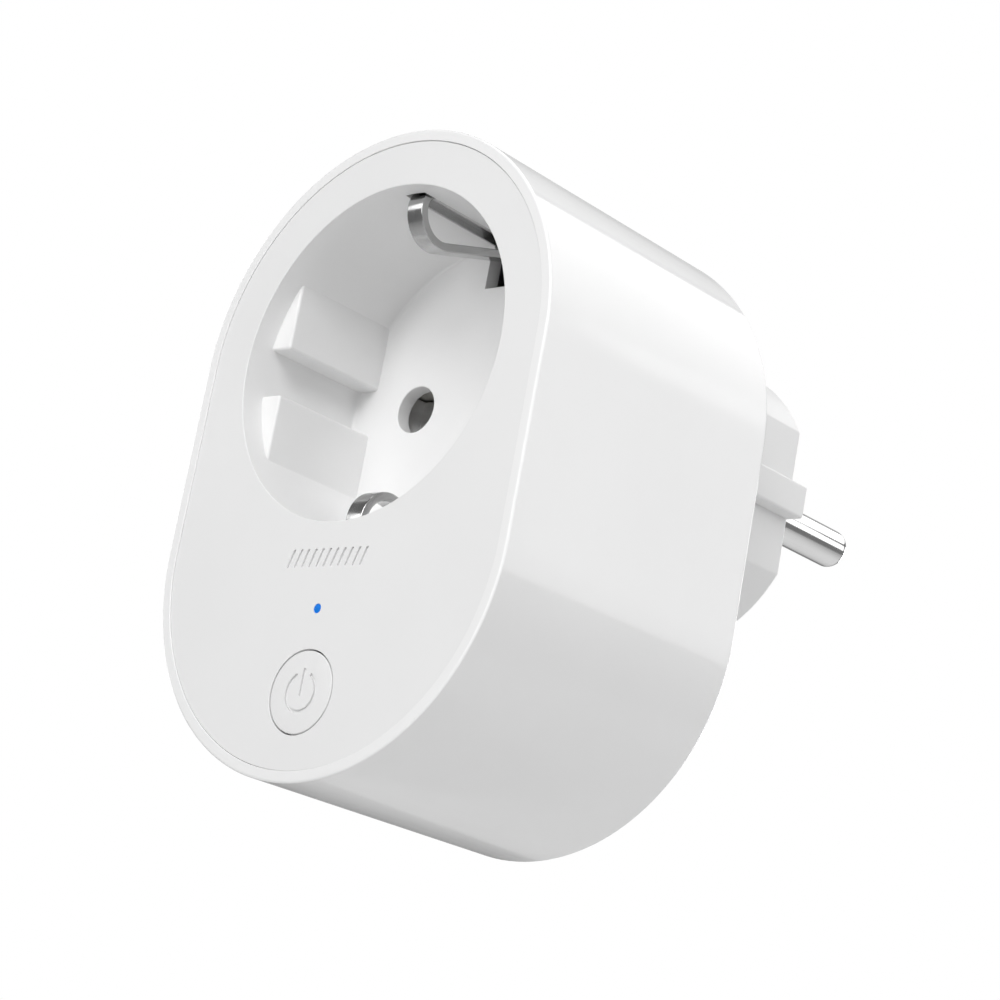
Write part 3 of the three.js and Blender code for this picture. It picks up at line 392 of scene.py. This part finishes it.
def moulded(name, color, gloss, grain, grain_height, **sockets):
    """Moulded plastic: fine tool grain, faint flow waves and gloss that varies with handling."""
    finish = Finish(name, color, sum(gloss) / 2, **sockets)
    finish.uneven_gloss(9.0, *gloss)
    finish.bumps(finish.noise(grain, 1.0), grain_height)
    finish.bumps(finish.noise(14.0, 1.0), 0.01)
    finish.tinted(finish.noise(22.0, 3.0), [(0.3, shade(color, 0.985)), (0.7, shade(color, 1.01))])
    return finish.material


def plated(name, color, gloss, brush=(1, 1, 1)):
    """Plated metal: drawing lines, small scratches and a faint haze."""
    finish = Finish(name, color, sum(gloss) / 2, Metallic=1.0)
    finish.uneven_gloss(1.4, *gloss, stretch=brush)
    finish.tinted(finish.noise(3.0, 4.0, brush), [(0.35, shade(color, 0.9)), (0.65, shade(color, 1.06))])
    finish.bumps(finish.noise(0.35, 3.0, brush), 0.002)
    return finish.material


def bare_metal(name, color, tarnish, gloss):
    """Unplated metal with patches of tarnish."""
    finish = Finish(name, color, sum(gloss) / 2, Metallic=1.0)
    finish.uneven_gloss(2.5, *gloss)
    finish.tinted(finish.noise(2.2, 5.0), [(0.38, tarnish), (0.52, color), (0.7, shade(color, 1.1))])
    finish.bumps(finish.noise(0.3, 3.0, (1, 6, 1)), 0.003)
    return finish.material


def circuit_board(name, mask, track):
    """Solder mask over copper tracks that show as slightly raised, lighter lanes."""
    finish = Finish(name, mask, 0.35)
    lanes = finish.cells(3.2, (1, 0, 1), "DISTANCE_TO_EDGE")
    tracks = finish.remapped(lanes, 0.03, 0.06, 1.0, 0.0)
    finish.tinted(tracks, [(0.3, mask), (0.7, track)])
    finish.bumps(tracks, 0.03)
    finish.bumps(finish.noise(0.25, 2.0), 0.004)
    return finish.material


def wound(name, color, dark, pitch, axis):
    """Wire or tape laid in turns along an axis."""
    finish = Finish(name, color, 0.35)
    wave = finish.nodes.new("ShaderNodeTexWave")
    wave.bands_direction = axis
    wave.inputs["Scale"].default_value = 0.314 / (pitch * MM)
    wave.inputs["Distortion"].default_value = 0.6
    wave.inputs["Detail Scale"].default_value = 200
    finish.links.new(finish.space, wave.inputs["Vector"])
    finish.tinted(wave.outputs["Fac"], [(0.1, dark), (0.6, color)])
    finish.bumps(wave.outputs["Fac"], pitch * 0.3)
    finish.uneven_gloss(2.0, 0.25, 0.45)
    return finish


def speckled(name, color, fleck, gloss, grain):
    """Sintered or dipped material with flecks."""
    finish = Finish(name, color, sum(gloss) / 2)
    finish.tinted(finish.noise(0.5, 3.0), [(0.4, color), (0.62, fleck)])
    finish.uneven_gloss(1.2, *gloss)
    finish.bumps(finish.noise(0.4, 3.0), grain)
    return finish.material


def lamp_material():
    """The lit end of the light pipe."""
    color, glow_color = (0.002, 0.07, 0.3), (0.001, 0.24, 0.88, 1)
    finish = Finish("lamp", color, 0.3, Emission_Color=glow_color, Specular_IOR_Level=0.15)
    glow = finish.remapped(finish.noise(0.6, 1.0), 0.3, 0.7, 0.42, 0.56)
    finish.links.new(glow, finish.shader.inputs["Emission Strength"])
    finish.bumps(finish.noise(0.2, 1.0), 0.004)
    return finish.material


def copper_material():
    finish = wound("copper", (0.75, 0.4, 0.22), (0.3, 0.13, 0.06), 0.22, "Y")
    finish.shader.inputs["Metallic"].default_value = 1.0
    return finish.material


WHITE = (0.9, 0.9, 0.9)
PANEL_WHITE = (0.8, 0.8, 0.8)

MATERIALS = {
    "shell_plastic": moulded("shell_plastic", WHITE, (0.08, 0.12), 0.5, 0.0004),
    "rim_plastic": moulded("rim_plastic", (0.84, 0.84, 0.84), (0.36, 0.42), 0.3, 0.0008),
    "panel_plastic": moulded("panel_plastic", PANEL_WHITE, (0.38, 0.48), 0.12, 0.0016),
    # The well's plastic is the panel's plastic painted lighter (0.88 against 0.8): painted light that lifts
    # the shade inside the well.
    "well_plastic_painted_light": moulded("well_plastic_painted_light", (0.88, 0.88, 0.88), (0.36, 0.42), 0.16, 0.0008),
    "rear_plastic": moulded("rear_plastic", (0.83, 0.83, 0.83), (0.36, 0.42), 0.3, 0.0008),
    "inner_plastic": moulded("inner_plastic", (0.66, 0.65, 0.62), (0.4, 0.6), 0.2, 0.004),
    "lamp": lamp_material(),
    "nickel": plated("nickel", (0.55, 0.55, 0.55), (0.12, 0.24), (1, 0.15, 1)),
    # A rough copy of the nickel, painted much lighter (0.86 against 0.55). The dull finish is real; the
    # lighter colour is painted light that lifts the shade on the forks inside the pin holes.
    "dull_nickel_painted_light": plated("dull_nickel_painted_light", (0.86, 0.86, 0.86), (0.45, 0.6), (1, 0.15, 1)),
    "pin_plate": plated("pin_plate", (0.78, 0.78, 0.78), (0.06, 0.12), (1, 0.1, 1)),
    "copper": copper_material(),
    "brass": bare_metal("brass", (0.78, 0.6, 0.28), (0.42, 0.27, 0.1), (0.2, 0.4)),
    "steel": plated("steel", (0.5, 0.5, 0.5), (0.25, 0.4), (0.3, 1, 1)),
    "board": circuit_board("board", (0.02, 0.11, 0.05), (0.05, 0.22, 0.09)),
    "black_plastic": moulded("black_plastic", (0.025, 0.025, 0.027), (0.35, 0.55), 0.2, 0.006),
    "relay_plastic": moulded("relay_plastic", (0.03, 0.11, 0.4), (0.2, 0.35), 0.3, 0.003),
    "ferrite": speckled("ferrite", (0.05, 0.05, 0.052), (0.12, 0.12, 0.12), (0.5, 0.75), 0.02),
    "tape": wound("tape", (0.75, 0.52, 0.08), (0.5, 0.3, 0.03), 1.6, "Y").material,
    "can_sleeve": moulded("can_sleeve", (0.02, 0.025, 0.04), (0.15, 0.3), 0.8, 0.004),
    "ceramic": speckled("ceramic", (0.05, 0.15, 0.42), (0.08, 0.2, 0.5), (0.25, 0.4), 0.01),
}


def dress_frame():
    """Gives each CAD node the detailed material of its slot."""
    for node in frame["nodes"].values():
        slot = node.data.materials[0].name
        node.data.materials[0] = MATERIALS[slot]


# ---- Casing ----

RIM_FILLET = 0.3
BACK_FILLET = 0.5
WELL_MOUTH_FILLET = 0.15
RIB_FILLET = 0.35
SEAM_COVER = 0.06  # how far the panel's edge reaches into the seam around it


def outer_shell():
    rim_radius = BODY_RADIUS - RIM_WIDTH
    inner_radius = BODY_RADIUS - SHELL_WALL
    ledge = PANEL_BACK + 0.05
    profile = rounded([
        (BODY_RADIUS, FRONT, RIM_FILLET),
        (BODY_RADIUS, BACK, BACK_FILLET),
        (inner_radius, BACK, 0.2),
        (inner_radius, ledge, 0),
        (rim_radius, ledge, 0),
        (rim_radius, FRONT, 0.08),
    ])
    shell = swept("outer_shell", [stadium_ring(r, y) for r, y in profile], closed=True)
    finished(shell, "shell", MATERIALS["shell_plastic"], "root", "shell_plastic", "outer_shell")
    shell.data.materials.append(MATERIALS["rim_plastic"])
    for face in shell.data.polygons:
        face.material_index = int(face.center.y < (FRONT + 0.01) * MM)


def well_cutter():
    """The well's hollow, flared where it meets the panel and rounded at its floor."""
    lip_centre = (WELL_RADIUS + WELL_MOUTH_FILLET, PANEL_FRONT + WELL_MOUTH_FILLET)
    lip = arc(lip_centre, WELL_MOUTH_FILLET, 270, 180, CORNER_STEPS)
    profile = [
        (WELL_RADIUS + 2, FRONT - 1, 0),
        (WELL_RADIUS + 2, PANEL_FRONT - 0.001, 0),
        *[(p.x, p.y, 0) for p in lip],
        (WELL_RADIUS, FLOOR_FRONT, RIB_FILLET),
        (1, FLOOR_FRONT, 0),
    ]
    return turned("well", profile, steps=2 * ROUND_STEPS)


def guide_ribs():
    """Four ribs that stand from the well's wall, with rounded edges."""
    cup_inside = WELL_RADIUS + 0.8
    ribs = []
    for side in (-1, 1):
        for level in (-1, 1):
            x = sorted((side * RIB_FLAT_X, side * (cup_inside + 3)))
            z = sorted((level * RIB_GROOVE, level * (cup_inside + 3)))
            rib = block(x, (RIB_FRONT, FLOOR_FRONT + 1.4), z, RIB_FILLET)
            disc = swept("disc", [circle_ring(cup_inside, y) for y in (RIB_FRONT - 1, FLOOR_FRONT + 1)])
            ribs.append(combined(rib, [disc], "INTERSECT"))
    return ribs


def flared_hole(radius, surface, back, x, z, flare, steps=64):
    """A round hole from a surface back, with a rounded edge at the surface."""
    mouth = arc((radius + flare, surface + flare), flare, 270, 180, CORNER_STEPS)
    profile = [
        (radius + flare + 0.3, surface - 0.6, 0),
        (radius + flare + 0.3, surface - 0.001, 0),
        *[(p.x, p.y, 0) for p in mouth],
        (radius, back, 0),
    ]
    return turned("hole", profile, x, z, steps)


def clip_slots():
    """The openings in the well's wall and floor for the earth clips."""
    slots = []
    for level in (-1, 1):
        wall = sorted((level * (WELL_RADIUS - 1.5), level * (CUP_RADIUS + 1)))
        floor = sorted((level * (WELL_RADIUS - CLIP_REACH - 0.15), level * (WELL_RADIUS - 1)))
        half = CLIP_SLOT_HALF + 0.4
        slots.append(block((-CLIP_SLOT_HALF, CLIP_SLOT_HALF), (CLIP_SLOT_FRONT, FLOOR_BACK + 1), wall))
        slots.append(block((-half, half), (FLOOR_FRONT - 0.1, FLOOR_BACK + 1), floor))
    return slots


def engraved_bars():
    """A plain row of leaning strokes between the well and the lamp, as cutters."""
    bars, pitch, height, width, lean = 11, 1.12, 2.1, 0.4, 0.35
    level = -WELL_RADIUS - 4.1
    cutters = []
    for i in range(bars):
        x = (i - (bars - 1) / 2) * pitch
        outline = rounded([
            (x - width / 2 - lean, level - height / 2, 0.15),
            (x + width / 2 - lean, level - height / 2, 0.15),
            (x + width / 2 + lean, level + height / 2, 0.15),
            (x - width / 2 + lean, level + height / 2, 0.15),
        ], 3)
        cutters.append(prism("bar", outline, (PANEL_FRONT - 0.5, PANEL_FRONT + BAR_DEPTH)))
    return cutters


def front_cover():
    radius = PANEL_RADIUS + SEAM_COVER
    edge = rounded([
        (radius - 2, PANEL_FRONT, 0),
        (radius, PANEL_FRONT, 0.04),
        (radius, PANEL_BACK, 0.08),
        (radius - 2, PANEL_BACK, 0),
    ])
    cover = swept("front_cover", [stadium_ring(r, y) for r, y in edge])
    cup_ends = (PANEL_BACK - OVERLAP, FLOOR_BACK)
    cup = swept("cup", [circle_ring(CUP_RADIUS, y, steps=2 * ROUND_STEPS) for y in cup_ends])
    joined(cover, cup)
    cut(cover, well_cutter())
    screw_x = middle("control_board_screw_right", "x")
    screw_z = middle("control_board_screw_right", "z")
    carrier_z = middle("carrier_screw_top", "z")
    board_boss = (PANEL_BACK - OVERLAP, PANEL_BACK + CONTROL_BOSS_HEIGHT)
    carrier_boss = (FLOOR_BACK - OVERLAP, FLOOR_BACK + CARRIER_BOSS_HEIGHT)
    bosses = [rod(BOSS_RADIUS, board_boss, side * screw_x, screw_z) for side in (-1, 1)]
    bosses += [rod(BOSS_RADIUS, carrier_boss, 0, side * carrier_z) for side in (-1, 1)]
    joined(cover, *guide_ribs(), *bosses)
    board_pilot = (PANEL_BACK + 0.3, PANEL_BACK + CONTROL_BOSS_HEIGHT + 1.05)
    carrier_pilot = (FLOOR_BACK + 0.2, FLOOR_BACK + CARRIER_BOSS_HEIGHT + 1.8)
    pilots = [rod(PILOT_RADIUS, board_pilot, side * screw_x, screw_z) for side in (-1, 1)]
    pilots += [rod(PILOT_RADIUS, carrier_pilot, 0, side * carrier_z) for side in (-1, 1)]
    pin_holes = [
        flared_hole(PIN_HOLE_RADIUS, FLOOR_FRONT, FLOOR_BACK + 1, side * PIN_X, 0, 0.15) for side in (-1, 1)
    ]
    button_hole = flared_hole(BUTTON_RADIUS + BUTTON_GAP, PANEL_FRONT, PANEL_BACK + 1, 0, BUTTON_Z, 0.08)
    lamp_hole = flared_hole(LAMP_RADIUS + 0.03, PANEL_FRONT, PANEL_BACK + 1, 0, LAMP_Z, 0.04, 32)
    cut(cover, *pilots, *pin_holes, *clip_slots(), *engraved_bars(), button_hole, lamp_hole)
    # The whole cover first takes the well's lighter plastic, painted light against the shade in the well,
    # ribs and cup; the faces at the front then take the panel's plastic.
    finished(cover, "front_panel", MATERIALS["well_plastic_painted_light"], "root", "panel_plastic", "front_cover")
    cover.data.materials.append(MATERIALS["panel_plastic"])
    for face in cover.data.polygons:
        face.material_index = int(face.center.y < (PANEL_FRONT + BAR_DEPTH + 0.05) * MM)


def plug_outline(inset=0.0):
    """The plug's outline: a circle with two flat sides."""
    radius, flat = PLUG_RADIUS - inset, PLUG_FLAT_X - inset
    corner = math.degrees(math.acos(flat / radius))
    top = arc((0, 0), radius, corner, 180 - corner, ROUND_STEPS)
    bottom = arc((0, 0), radius, 180 + corner, 360 - corner, ROUND_STEPS)
    return top + bottom


def plug_body():
    """The plug's outside, with a rounded edge around its end face."""
    edge = rounded([(0, BACK_PLATE_FRONT + 0.2, 0), (0, 0, PLUG_FILLET), (PLUG_FILLET + 1, 0, 0)])
    rings = [[(p.x, y, p.y) for p in plug_outline(inset)] for inset, y in edge]
    return swept("plug", rings)


def earth_grooves():
    """The plug's grooves for the side contacts, each with the opening for the contact's leg."""
    cutters = []
    for level in (-1, 1):
        groove = sorted((level * GROOVE_FLOOR, level * (PLUG_RADIUS + 1)))
        leg = sorted((level * (GROOVE_FLOOR - 8), level * PLUG_RADIUS))
        cutters.append(block((-GROOVE_HALF, GROOVE_HALF), (BACK + 1.6, 1), groove))
        cutters.append(block((-GROOVE_HALF, GROOVE_HALF), (BACK + 2, BACK + 4.4), leg))
    return cutters


def rear_cover():
    plate_radius = BODY_RADIUS - SHELL_WALL - 0.1
    edge = rounded([
        (plate_radius - 2, BACK_PLATE_FRONT, 0),
        (plate_radius, BACK_PLATE_FRONT, 0.1),
        (plate_radius, BACK, 0.15),
        (plate_radius - 2, BACK, 0),
    ])
    cover = swept("rear_cover", [stadium_ring(r, y) for r, y in edge])
    ridges = block((-RIDGE_X, RIDGE_X), (BACK_PLATE_FRONT + 0.2, 0), (-RIDGE_HALF, RIDGE_HALF), RIDGE_FILLET)
    joined(cover, plug_body(), ridges)
    hollow = prism("hollow", plug_outline(PLUG_WALL), (BACK_PLATE_FRONT - 1, -PLUG_WALL))
    screw_x = middle("power_board_screw_right", "x")
    screw_z = middle("power_board_screw_right", "z")
    boss = (BACK_PLATE_FRONT - POWER_BOSS_HEIGHT, BACK_PLATE_FRONT + OVERLAP)
    bosses = [rod(BOSS_RADIUS, boss, side * screw_x, screw_z) for side in (-1, 1)]
    cut(cover, hollow)
    joined(cover, *bosses)
    pilot = (BACK_PLATE_FRONT - POWER_BOSS_HEIGHT - 1.05, BACK - 0.5)
    pilots = [rod(PILOT_RADIUS, pilot, side * screw_x, screw_z) for side in (-1, 1)]
    pin_holes = [rod(PIN_RADIUS + 0.1, (-3, 1), side * PIN_X, 0, 64) for side in (-1, 1)]
    cut(cover, *earth_grooves(), *pilots, *pin_holes)
    finished(cover, "rear_housing", MATERIALS["rear_plastic"], "root", "shell_plastic", "rear_cover")


# ---- Button and lamp ----

def power_symbol():
    """An open ring with rounded ends and a bar through its gap, as cutters."""
    outer, inner = SYMBOL_RADIUS + SYMBOL_LINE / 2, SYMBOL_RADIUS - SYMBOL_LINE / 2
    gap = 31
    start, end = 90 + gap, 450 - gap
    ends = [
        (SYMBOL_RADIUS * math.cos(math.radians(a)), BUTTON_Z + SYMBOL_RADIUS * math.sin(math.radians(a)))
        for a in (start, end)
    ]
    centre = (0, BUTTON_Z)
    ring = arc(centre, outer, start, end, 64)
    ring += arc(ends[1], SYMBOL_LINE / 2, end, end + 180, 8)[1:-1]
    ring += arc(centre, inner, end, start, 64)
    ring += arc(ends[0], SYMBOL_LINE / 2, start + 180, start + 360, 8)[1:-1]
    half = SYMBOL_LINE / 2
    top = BUTTON_Z + outer + 0.3
    bar = rounded([
        (half, BUTTON_Z - 0.5, half * 0.98),
        (half, top, half * 0.98),
        (-half, top, half * 0.98),
        (-half, BUTTON_Z - 0.5, half * 0.98),
    ])
    depth = (FRONT - 1, PANEL_FRONT + SYMBOL_DEPTH)
    return [prism("ring", ring, depth), prism("bar", bar, depth)]


def power_button():
    flange = BUTTON_RADIUS + 0.9
    profile = [
        (1, PANEL_FRONT, 0),
        (BUTTON_RADIUS, PANEL_FRONT, 0.15),
        (BUTTON_RADIUS, PANEL_BACK + 0.1, 0),
        (flange, PANEL_BACK + 0.1, 0.05),
        (flange, PANEL_BACK + 0.7, 0.05),
        (1.6, PANEL_BACK + 0.7, 0.1),
        (1.6, BUTTON_BACK, 0.1),
        (0.5, BUTTON_BACK, 0),
    ]
    button = cut(turned("power_button", profile, 0, BUTTON_Z), *power_symbol())
    finished(button, "button_cap", MATERIALS["panel_plastic"], "button", "panel_plastic", "power_button")


def light_pipe():
    back = span("light_pipe", "y")[1]
    profile = [
        (0.1, PANEL_FRONT, 0),
        (LAMP_RADIUS, PANEL_FRONT, 0.1),
        (LAMP_RADIUS, PANEL_BACK + 0.05, 0),
        (LAMP_RADIUS + 1, PANEL_BACK + 0.05, 0),
        (LAMP_RADIUS + 1, PANEL_BACK + 0.8, 0),
        (LAMP_RADIUS + 0.4, PANEL_BACK + 0.8, 0.05),
        (LAMP_RADIUS + 0.4, back, 0.1),
        (0.1, back, 0),
    ]
    pipe = turned("light_pipe", profile, 0, LAMP_Z, 48)
    finished(pipe, "lamp_lens", MATERIALS["lamp"], "root", "lamp", "light_pipe")


# ---- Contacts ----

def contact_pins():
    for node, side in (("live_pin", -1), ("neutral_pin", 1)):
        front = span(node, "y")[0]
        tip = PIN_RADIUS * 0.75
        end = [(PIN_RADIUS * math.cos(a), PIN_TIP - tip + tip * math.sin(a)) for a in
               (math.radians(step * 9) for step in range(10))]
        profile = [
            (0.2, front, 0),
            (2.1, front, 0.2),
            (2.1, front + 0.75, 0),
            (1.3, front + 0.75, 0),
            (1.3, front + 1.65, 0),
            (PIN_RADIUS - 0.4, front + 1.65, 0.1),
            (PIN_RADIUS - 0.4, -4.3, 0),
            (PIN_RADIUS + 1.1, -4.3, 0.15),
            (PIN_RADIUS + 1.1, -2.1, 0.15),
            (PIN_RADIUS, -2.1, 0),
            *[(r, y, 0) for r, y in end],
            (0.1, PIN_TIP, 0),
        ]
        pin = turned(node, profile, side * PIN_X, 0, 64)
        finished(pin, node + "_turned", MATERIALS["pin_plate"], "root", "pin_plate", node)


def across_x(u, v, w):
    return (w, u, v)


def across_z(u, v, w):
    return (u, v, w)


def earth_clips():
    """Strips bent into a teardrop: outer leg, round nose, and a free leg that slopes back into the floor."""
    width, thickness, tab_drop = 2.4, CONTACT_THICKNESS, 5.2
    leg = WELL_RADIUS + 0.95
    nose_radius = 3.55
    nose_y = CLIP_SLOT_FRONT + 0.3 + thickness / 2
    low = WELL_RADIUS - CLIP_REACH + thickness / 2
    slope = math.radians(17)
    centre = Vector((nose_y + nose_radius, low + nose_radius))
    touch = centre + nose_radius * Vector((math.sin(slope), -math.cos(slope)))
    tail_y = FLOOR_BACK - 0.3
    tab_y = span("earth_clip_top", "y")[1] - thickness / 2
    path = rounded([
        (tab_y, leg - tab_drop, 0),
        (tab_y, leg, 1.2),
        (nose_y, leg, leg - centre.y),
        (nose_y, touch.y - (touch.x - nose_y) * math.tan(slope), nose_radius),
        (tail_y, touch.y + (tail_y - touch.x) * math.tan(slope), 0),
    ], 14)
    clip = ribbon("earth_clip", path, width, thickness, across_x)
    tab_half = width / 2 + 1.3
    tab_faces = (tab_y - thickness / 2, tab_y + thickness / 2)
    tab = block((-tab_half, tab_half), tab_faces, (leg - tab_drop, leg - 1.6), 0.1)
    flange_x = (-CLIP_SLOT_HALF + 0.05, -CLIP_SLOT_HALF + 0.4)
    flange = block(flange_x, (nose_y + 0.8, FLOOR_BACK - 0.2), (leg - 1.1, CUP_RADIUS + 0.2), 0.08)
    joined(clip, tab, flange)
    cut(clip, rod(RIVET_HOLE_RADIUS, (tab_y - 2, tab_y + 2), 0, leg - 3.4))
    lower = mirrored(clip, (0, 0, 1))
    finished(clip, "clip_spring_top", MATERIALS["nickel"], "root", "nickel", "earth_clip_top")
    finished(lower, "clip_spring_bottom", MATERIALS["nickel"], "root", "nickel", "earth_clip_bottom")


def earth_side_contacts():
    """Strips in the plug's grooves, each with a leg that turns in to the bridge."""
    thickness = CONTACT_THICKNESS
    outer = PLUG_RADIUS - 0.3 - thickness / 2
    leg_y = BACK + 3.2
    tab_y = span("earth_side_contact_top", "y")[0] + thickness / 2
    rivet_z = middle("plug_rivet_top", "z")
    path = rounded([
        (-0.4, outer - 0.2, 0),
        (-4, outer, 0),
        (leg_y, outer, 1.4),
        (leg_y, rivet_z + 3, 1),
        (tab_y, rivet_z + 3, 1),
        (tab_y, rivet_z - 2, 0),
    ], 10)
    strip = ribbon("side_contact", path, 2 * GROOVE_HALF - 0.6, thickness, across_x)
    cut(strip, rod(RIVET_HOLE_RADIUS, (tab_y - 2, tab_y + 2), 0, rivet_z))
    lower = mirrored(strip, (0, 0, 1))
    finished(strip, "side_strip_top", MATERIALS["nickel"], "root", "nickel", "earth_side_contact_top")
    finished(lower, "side_strip_bottom", MATERIALS["nickel"], "root", "nickel", "earth_side_contact_bottom")


def contact_forks():
    """Leaves that grip a pin from both sides, with lips that spread at the mouth."""
    thickness = 0.8
    lip_front, back = span("live_contact", "y")
    leaf = PIN_RADIUS - 0.25 + thickness / 2
    lip = leaf + 2.1
    step = FLOOR_BACK + 0.3 + 3.6
    for node, side in (("live_contact", -1), ("neutral_contact", 1)):
        x = side * PIN_X
        path = rounded([
            (x - lip, lip_front, 0),
            (x - lip, step, 0.5),
            (x - leaf, step, 0.5),
            (x - leaf, back - thickness / 2, 0.5),
            (x + leaf, back - thickness / 2, 0.5),
            (x + leaf, step, 0.5),
            (x + lip, step, 0.5),
            (x + lip, lip_front, 0),
        ])
        fork = ribbon(node, path, 6.2, thickness, across_z)
        # The forks take the lightened dull nickel, painted light against the shade in the pin holes.
        finished(fork, node + "_spring", MATERIALS["dull_nickel_painted_light"], "root", "nickel", node)


# ---- Studio ----

CAMERA_PLACE = (216.1, -255.0, -91.4)
CAMERA_AZIMUTH = 44.2325
CAMERA_RISE = 14.836
CAMERA_ROLL = 10.4295
CAMERA_LENS = 100.18

ROOM_LIGHT = 0.2  # of the white that the camera sees
LIGHT_TARGET = (0, -0.04, -0.01)

FLOOR_LEVEL = -300
FLOOR_RADIUS = 1500
FLOOR_FADE = (0.35, 1.1)  # metres from the object over which the floor fades out

# name: place and size in metres, power in watts, and the point that it faces
SOFTBOXES = {
    "key": ((0.45, -0.75, 0.55), (0.5, 0.5), 5.3, LIGHT_TARGET),
    "front_fill": ((0, -1.0, 0.1), (0.5, 0.5), 3.0, LIGHT_TARGET),
    "left_glint": ((-0.75, -0.8, 0.3), (0.25, 0.25), 0.4, LIGHT_TARGET),
    "right_fill": ((0.9, 0, 0.2), (0.5, 0.5), 1.95, LIGHT_TARGET),
    "left_fill": ((-0.9, 0.1, 0.2), (0.5, 0.5), 1.8, LIGHT_TARGET),
    "top_fill": ((0, 0.1, 0.9), (0.8, 0.8), 2.8, LIGHT_TARGET),
    "back_fill": ((-0.1, 1.2, 0.1), (0.5, 0.5), 3.5, LIGHT_TARGET),
    "floor_bounce": ((0, 0.25, -0.29), (0.6, 0.6), 0.3, LIGHT_TARGET),
    "high_panel": ((0.22, 0.62, 0.56), (0.75, 0.44), 1.62, (0.22, 0, 0.56)),
    "left_panel": ((-0.525, 0.62, 0.375), (0.65, 0.75), 0.4, (-0.525, 0, 0.375)),
    "low_panel": ((0.60, 0.62, 0.235), (0.34, 0.42), 0.65, (0.60, 0, 0.235)),
}


def camera():
    """Stands to the right of the plug and below it, looking up, and tilted a little."""
    azimuth, rise, roll = (math.radians(a) for a in (CAMERA_AZIMUTH, CAMERA_RISE, CAMERA_ROLL))
    reach = math.cos(rise)
    forward = Vector((-math.sin(azimuth) * reach, math.cos(azimuth) * reach, math.sin(rise)))
    level = Vector((math.cos(azimuth), math.sin(azimuth), 0))
    upright = level.cross(forward)
    right = math.cos(roll) * level + math.sin(roll) * upright
    up = -math.sin(roll) * level + math.cos(roll) * upright
    data = bpy.data.cameras.new("camera")
    data.lens = CAMERA_LENS
    data.clip_start = 0.01
    data.clip_end = 20
    viewer = bpy.data.objects.new("camera", data)
    turn = Matrix((right, up, -forward)).transposed().to_4x4()
    viewer.matrix_world = Matrix.Translation(Vector(CAMERA_PLACE) * MM) @ turn
    bpy.context.scene.collection.objects.link(viewer)
    bpy.context.scene.camera = viewer


def world():
    """An even white room, which shows as pure white behind the object."""
    room = bpy.data.worlds.new("room")
    room.use_nodes = True
    nodes, links = room.node_tree.nodes, room.node_tree.links
    background = nodes["Background"]
    background.inputs["Color"].default_value = (1, 1, 1, 1)
    ray = nodes.new("ShaderNodeLightPath")
    strength = nodes.new("ShaderNodeMapRange")
    strength.inputs["To Min"].default_value = ROOM_LIGHT
    strength.inputs["To Max"].default_value = 1.0
    links.new(ray.outputs["Is Camera Ray"], strength.inputs["Value"])
    links.new(strength.outputs["Result"], background.inputs["Strength"])
    bpy.context.scene.world = room


def floor_paint():
    """Matt pale paint that fades into the white room further out."""
    paint = Finish("floor_paint", (0.7, 0.7, 0.7), 0.8)
    paint.uneven_gloss(9.0, 0.7, 0.85)
    paint.bumps(paint.noise(1.0, 1.0), 0.01)
    distance = paint.nodes.new("ShaderNodeVectorMath")
    distance.operation = "LENGTH"
    paint.links.new(paint.space, distance.inputs[0])
    fade = paint.remapped(distance.outputs["Value"], *FLOOR_FADE, 1.0, 0.0)
    paint.links.new(fade, paint.shader.inputs["Alpha"])
    return paint.material


def floor():
    plane = bmesh.new()
    bmesh.ops.create_circle(plane, cap_ends=True, segments=64, radius=FLOOR_RADIUS)
    plane.transform(Matrix.Translation((0, 0, FLOOR_LEVEL)))
    piece = placed("floor", plane)
    piece.data.materials.append(floor_paint())


def softbox(name, place, size, power, aim):
    data = bpy.data.lights.new(name, "AREA")
    data.shape = "RECTANGLE"
    data.size, data.size_y = size
    data.energy = power
    lamp = bpy.data.objects.new(name, data)
    lamp.location = place
    lamp.rotation_euler = (Vector(aim) - Vector(place)).to_track_quat("-Z", "Y").to_euler()
    bpy.context.scene.collection.objects.link(lamp)


def studio():
    world()
    floor()
    for name, light in SOFTBOXES.items():
        softbox(name, *light)
    bpy.context.scene.view_settings.view_transform = "Standard"


dress_frame()
outer_shell()
front_cover()
rear_cover()
power_button()
light_pipe()
contact_pins()
earth_clips()
earth_side_contacts()
contact_forks()
camera()
studio()
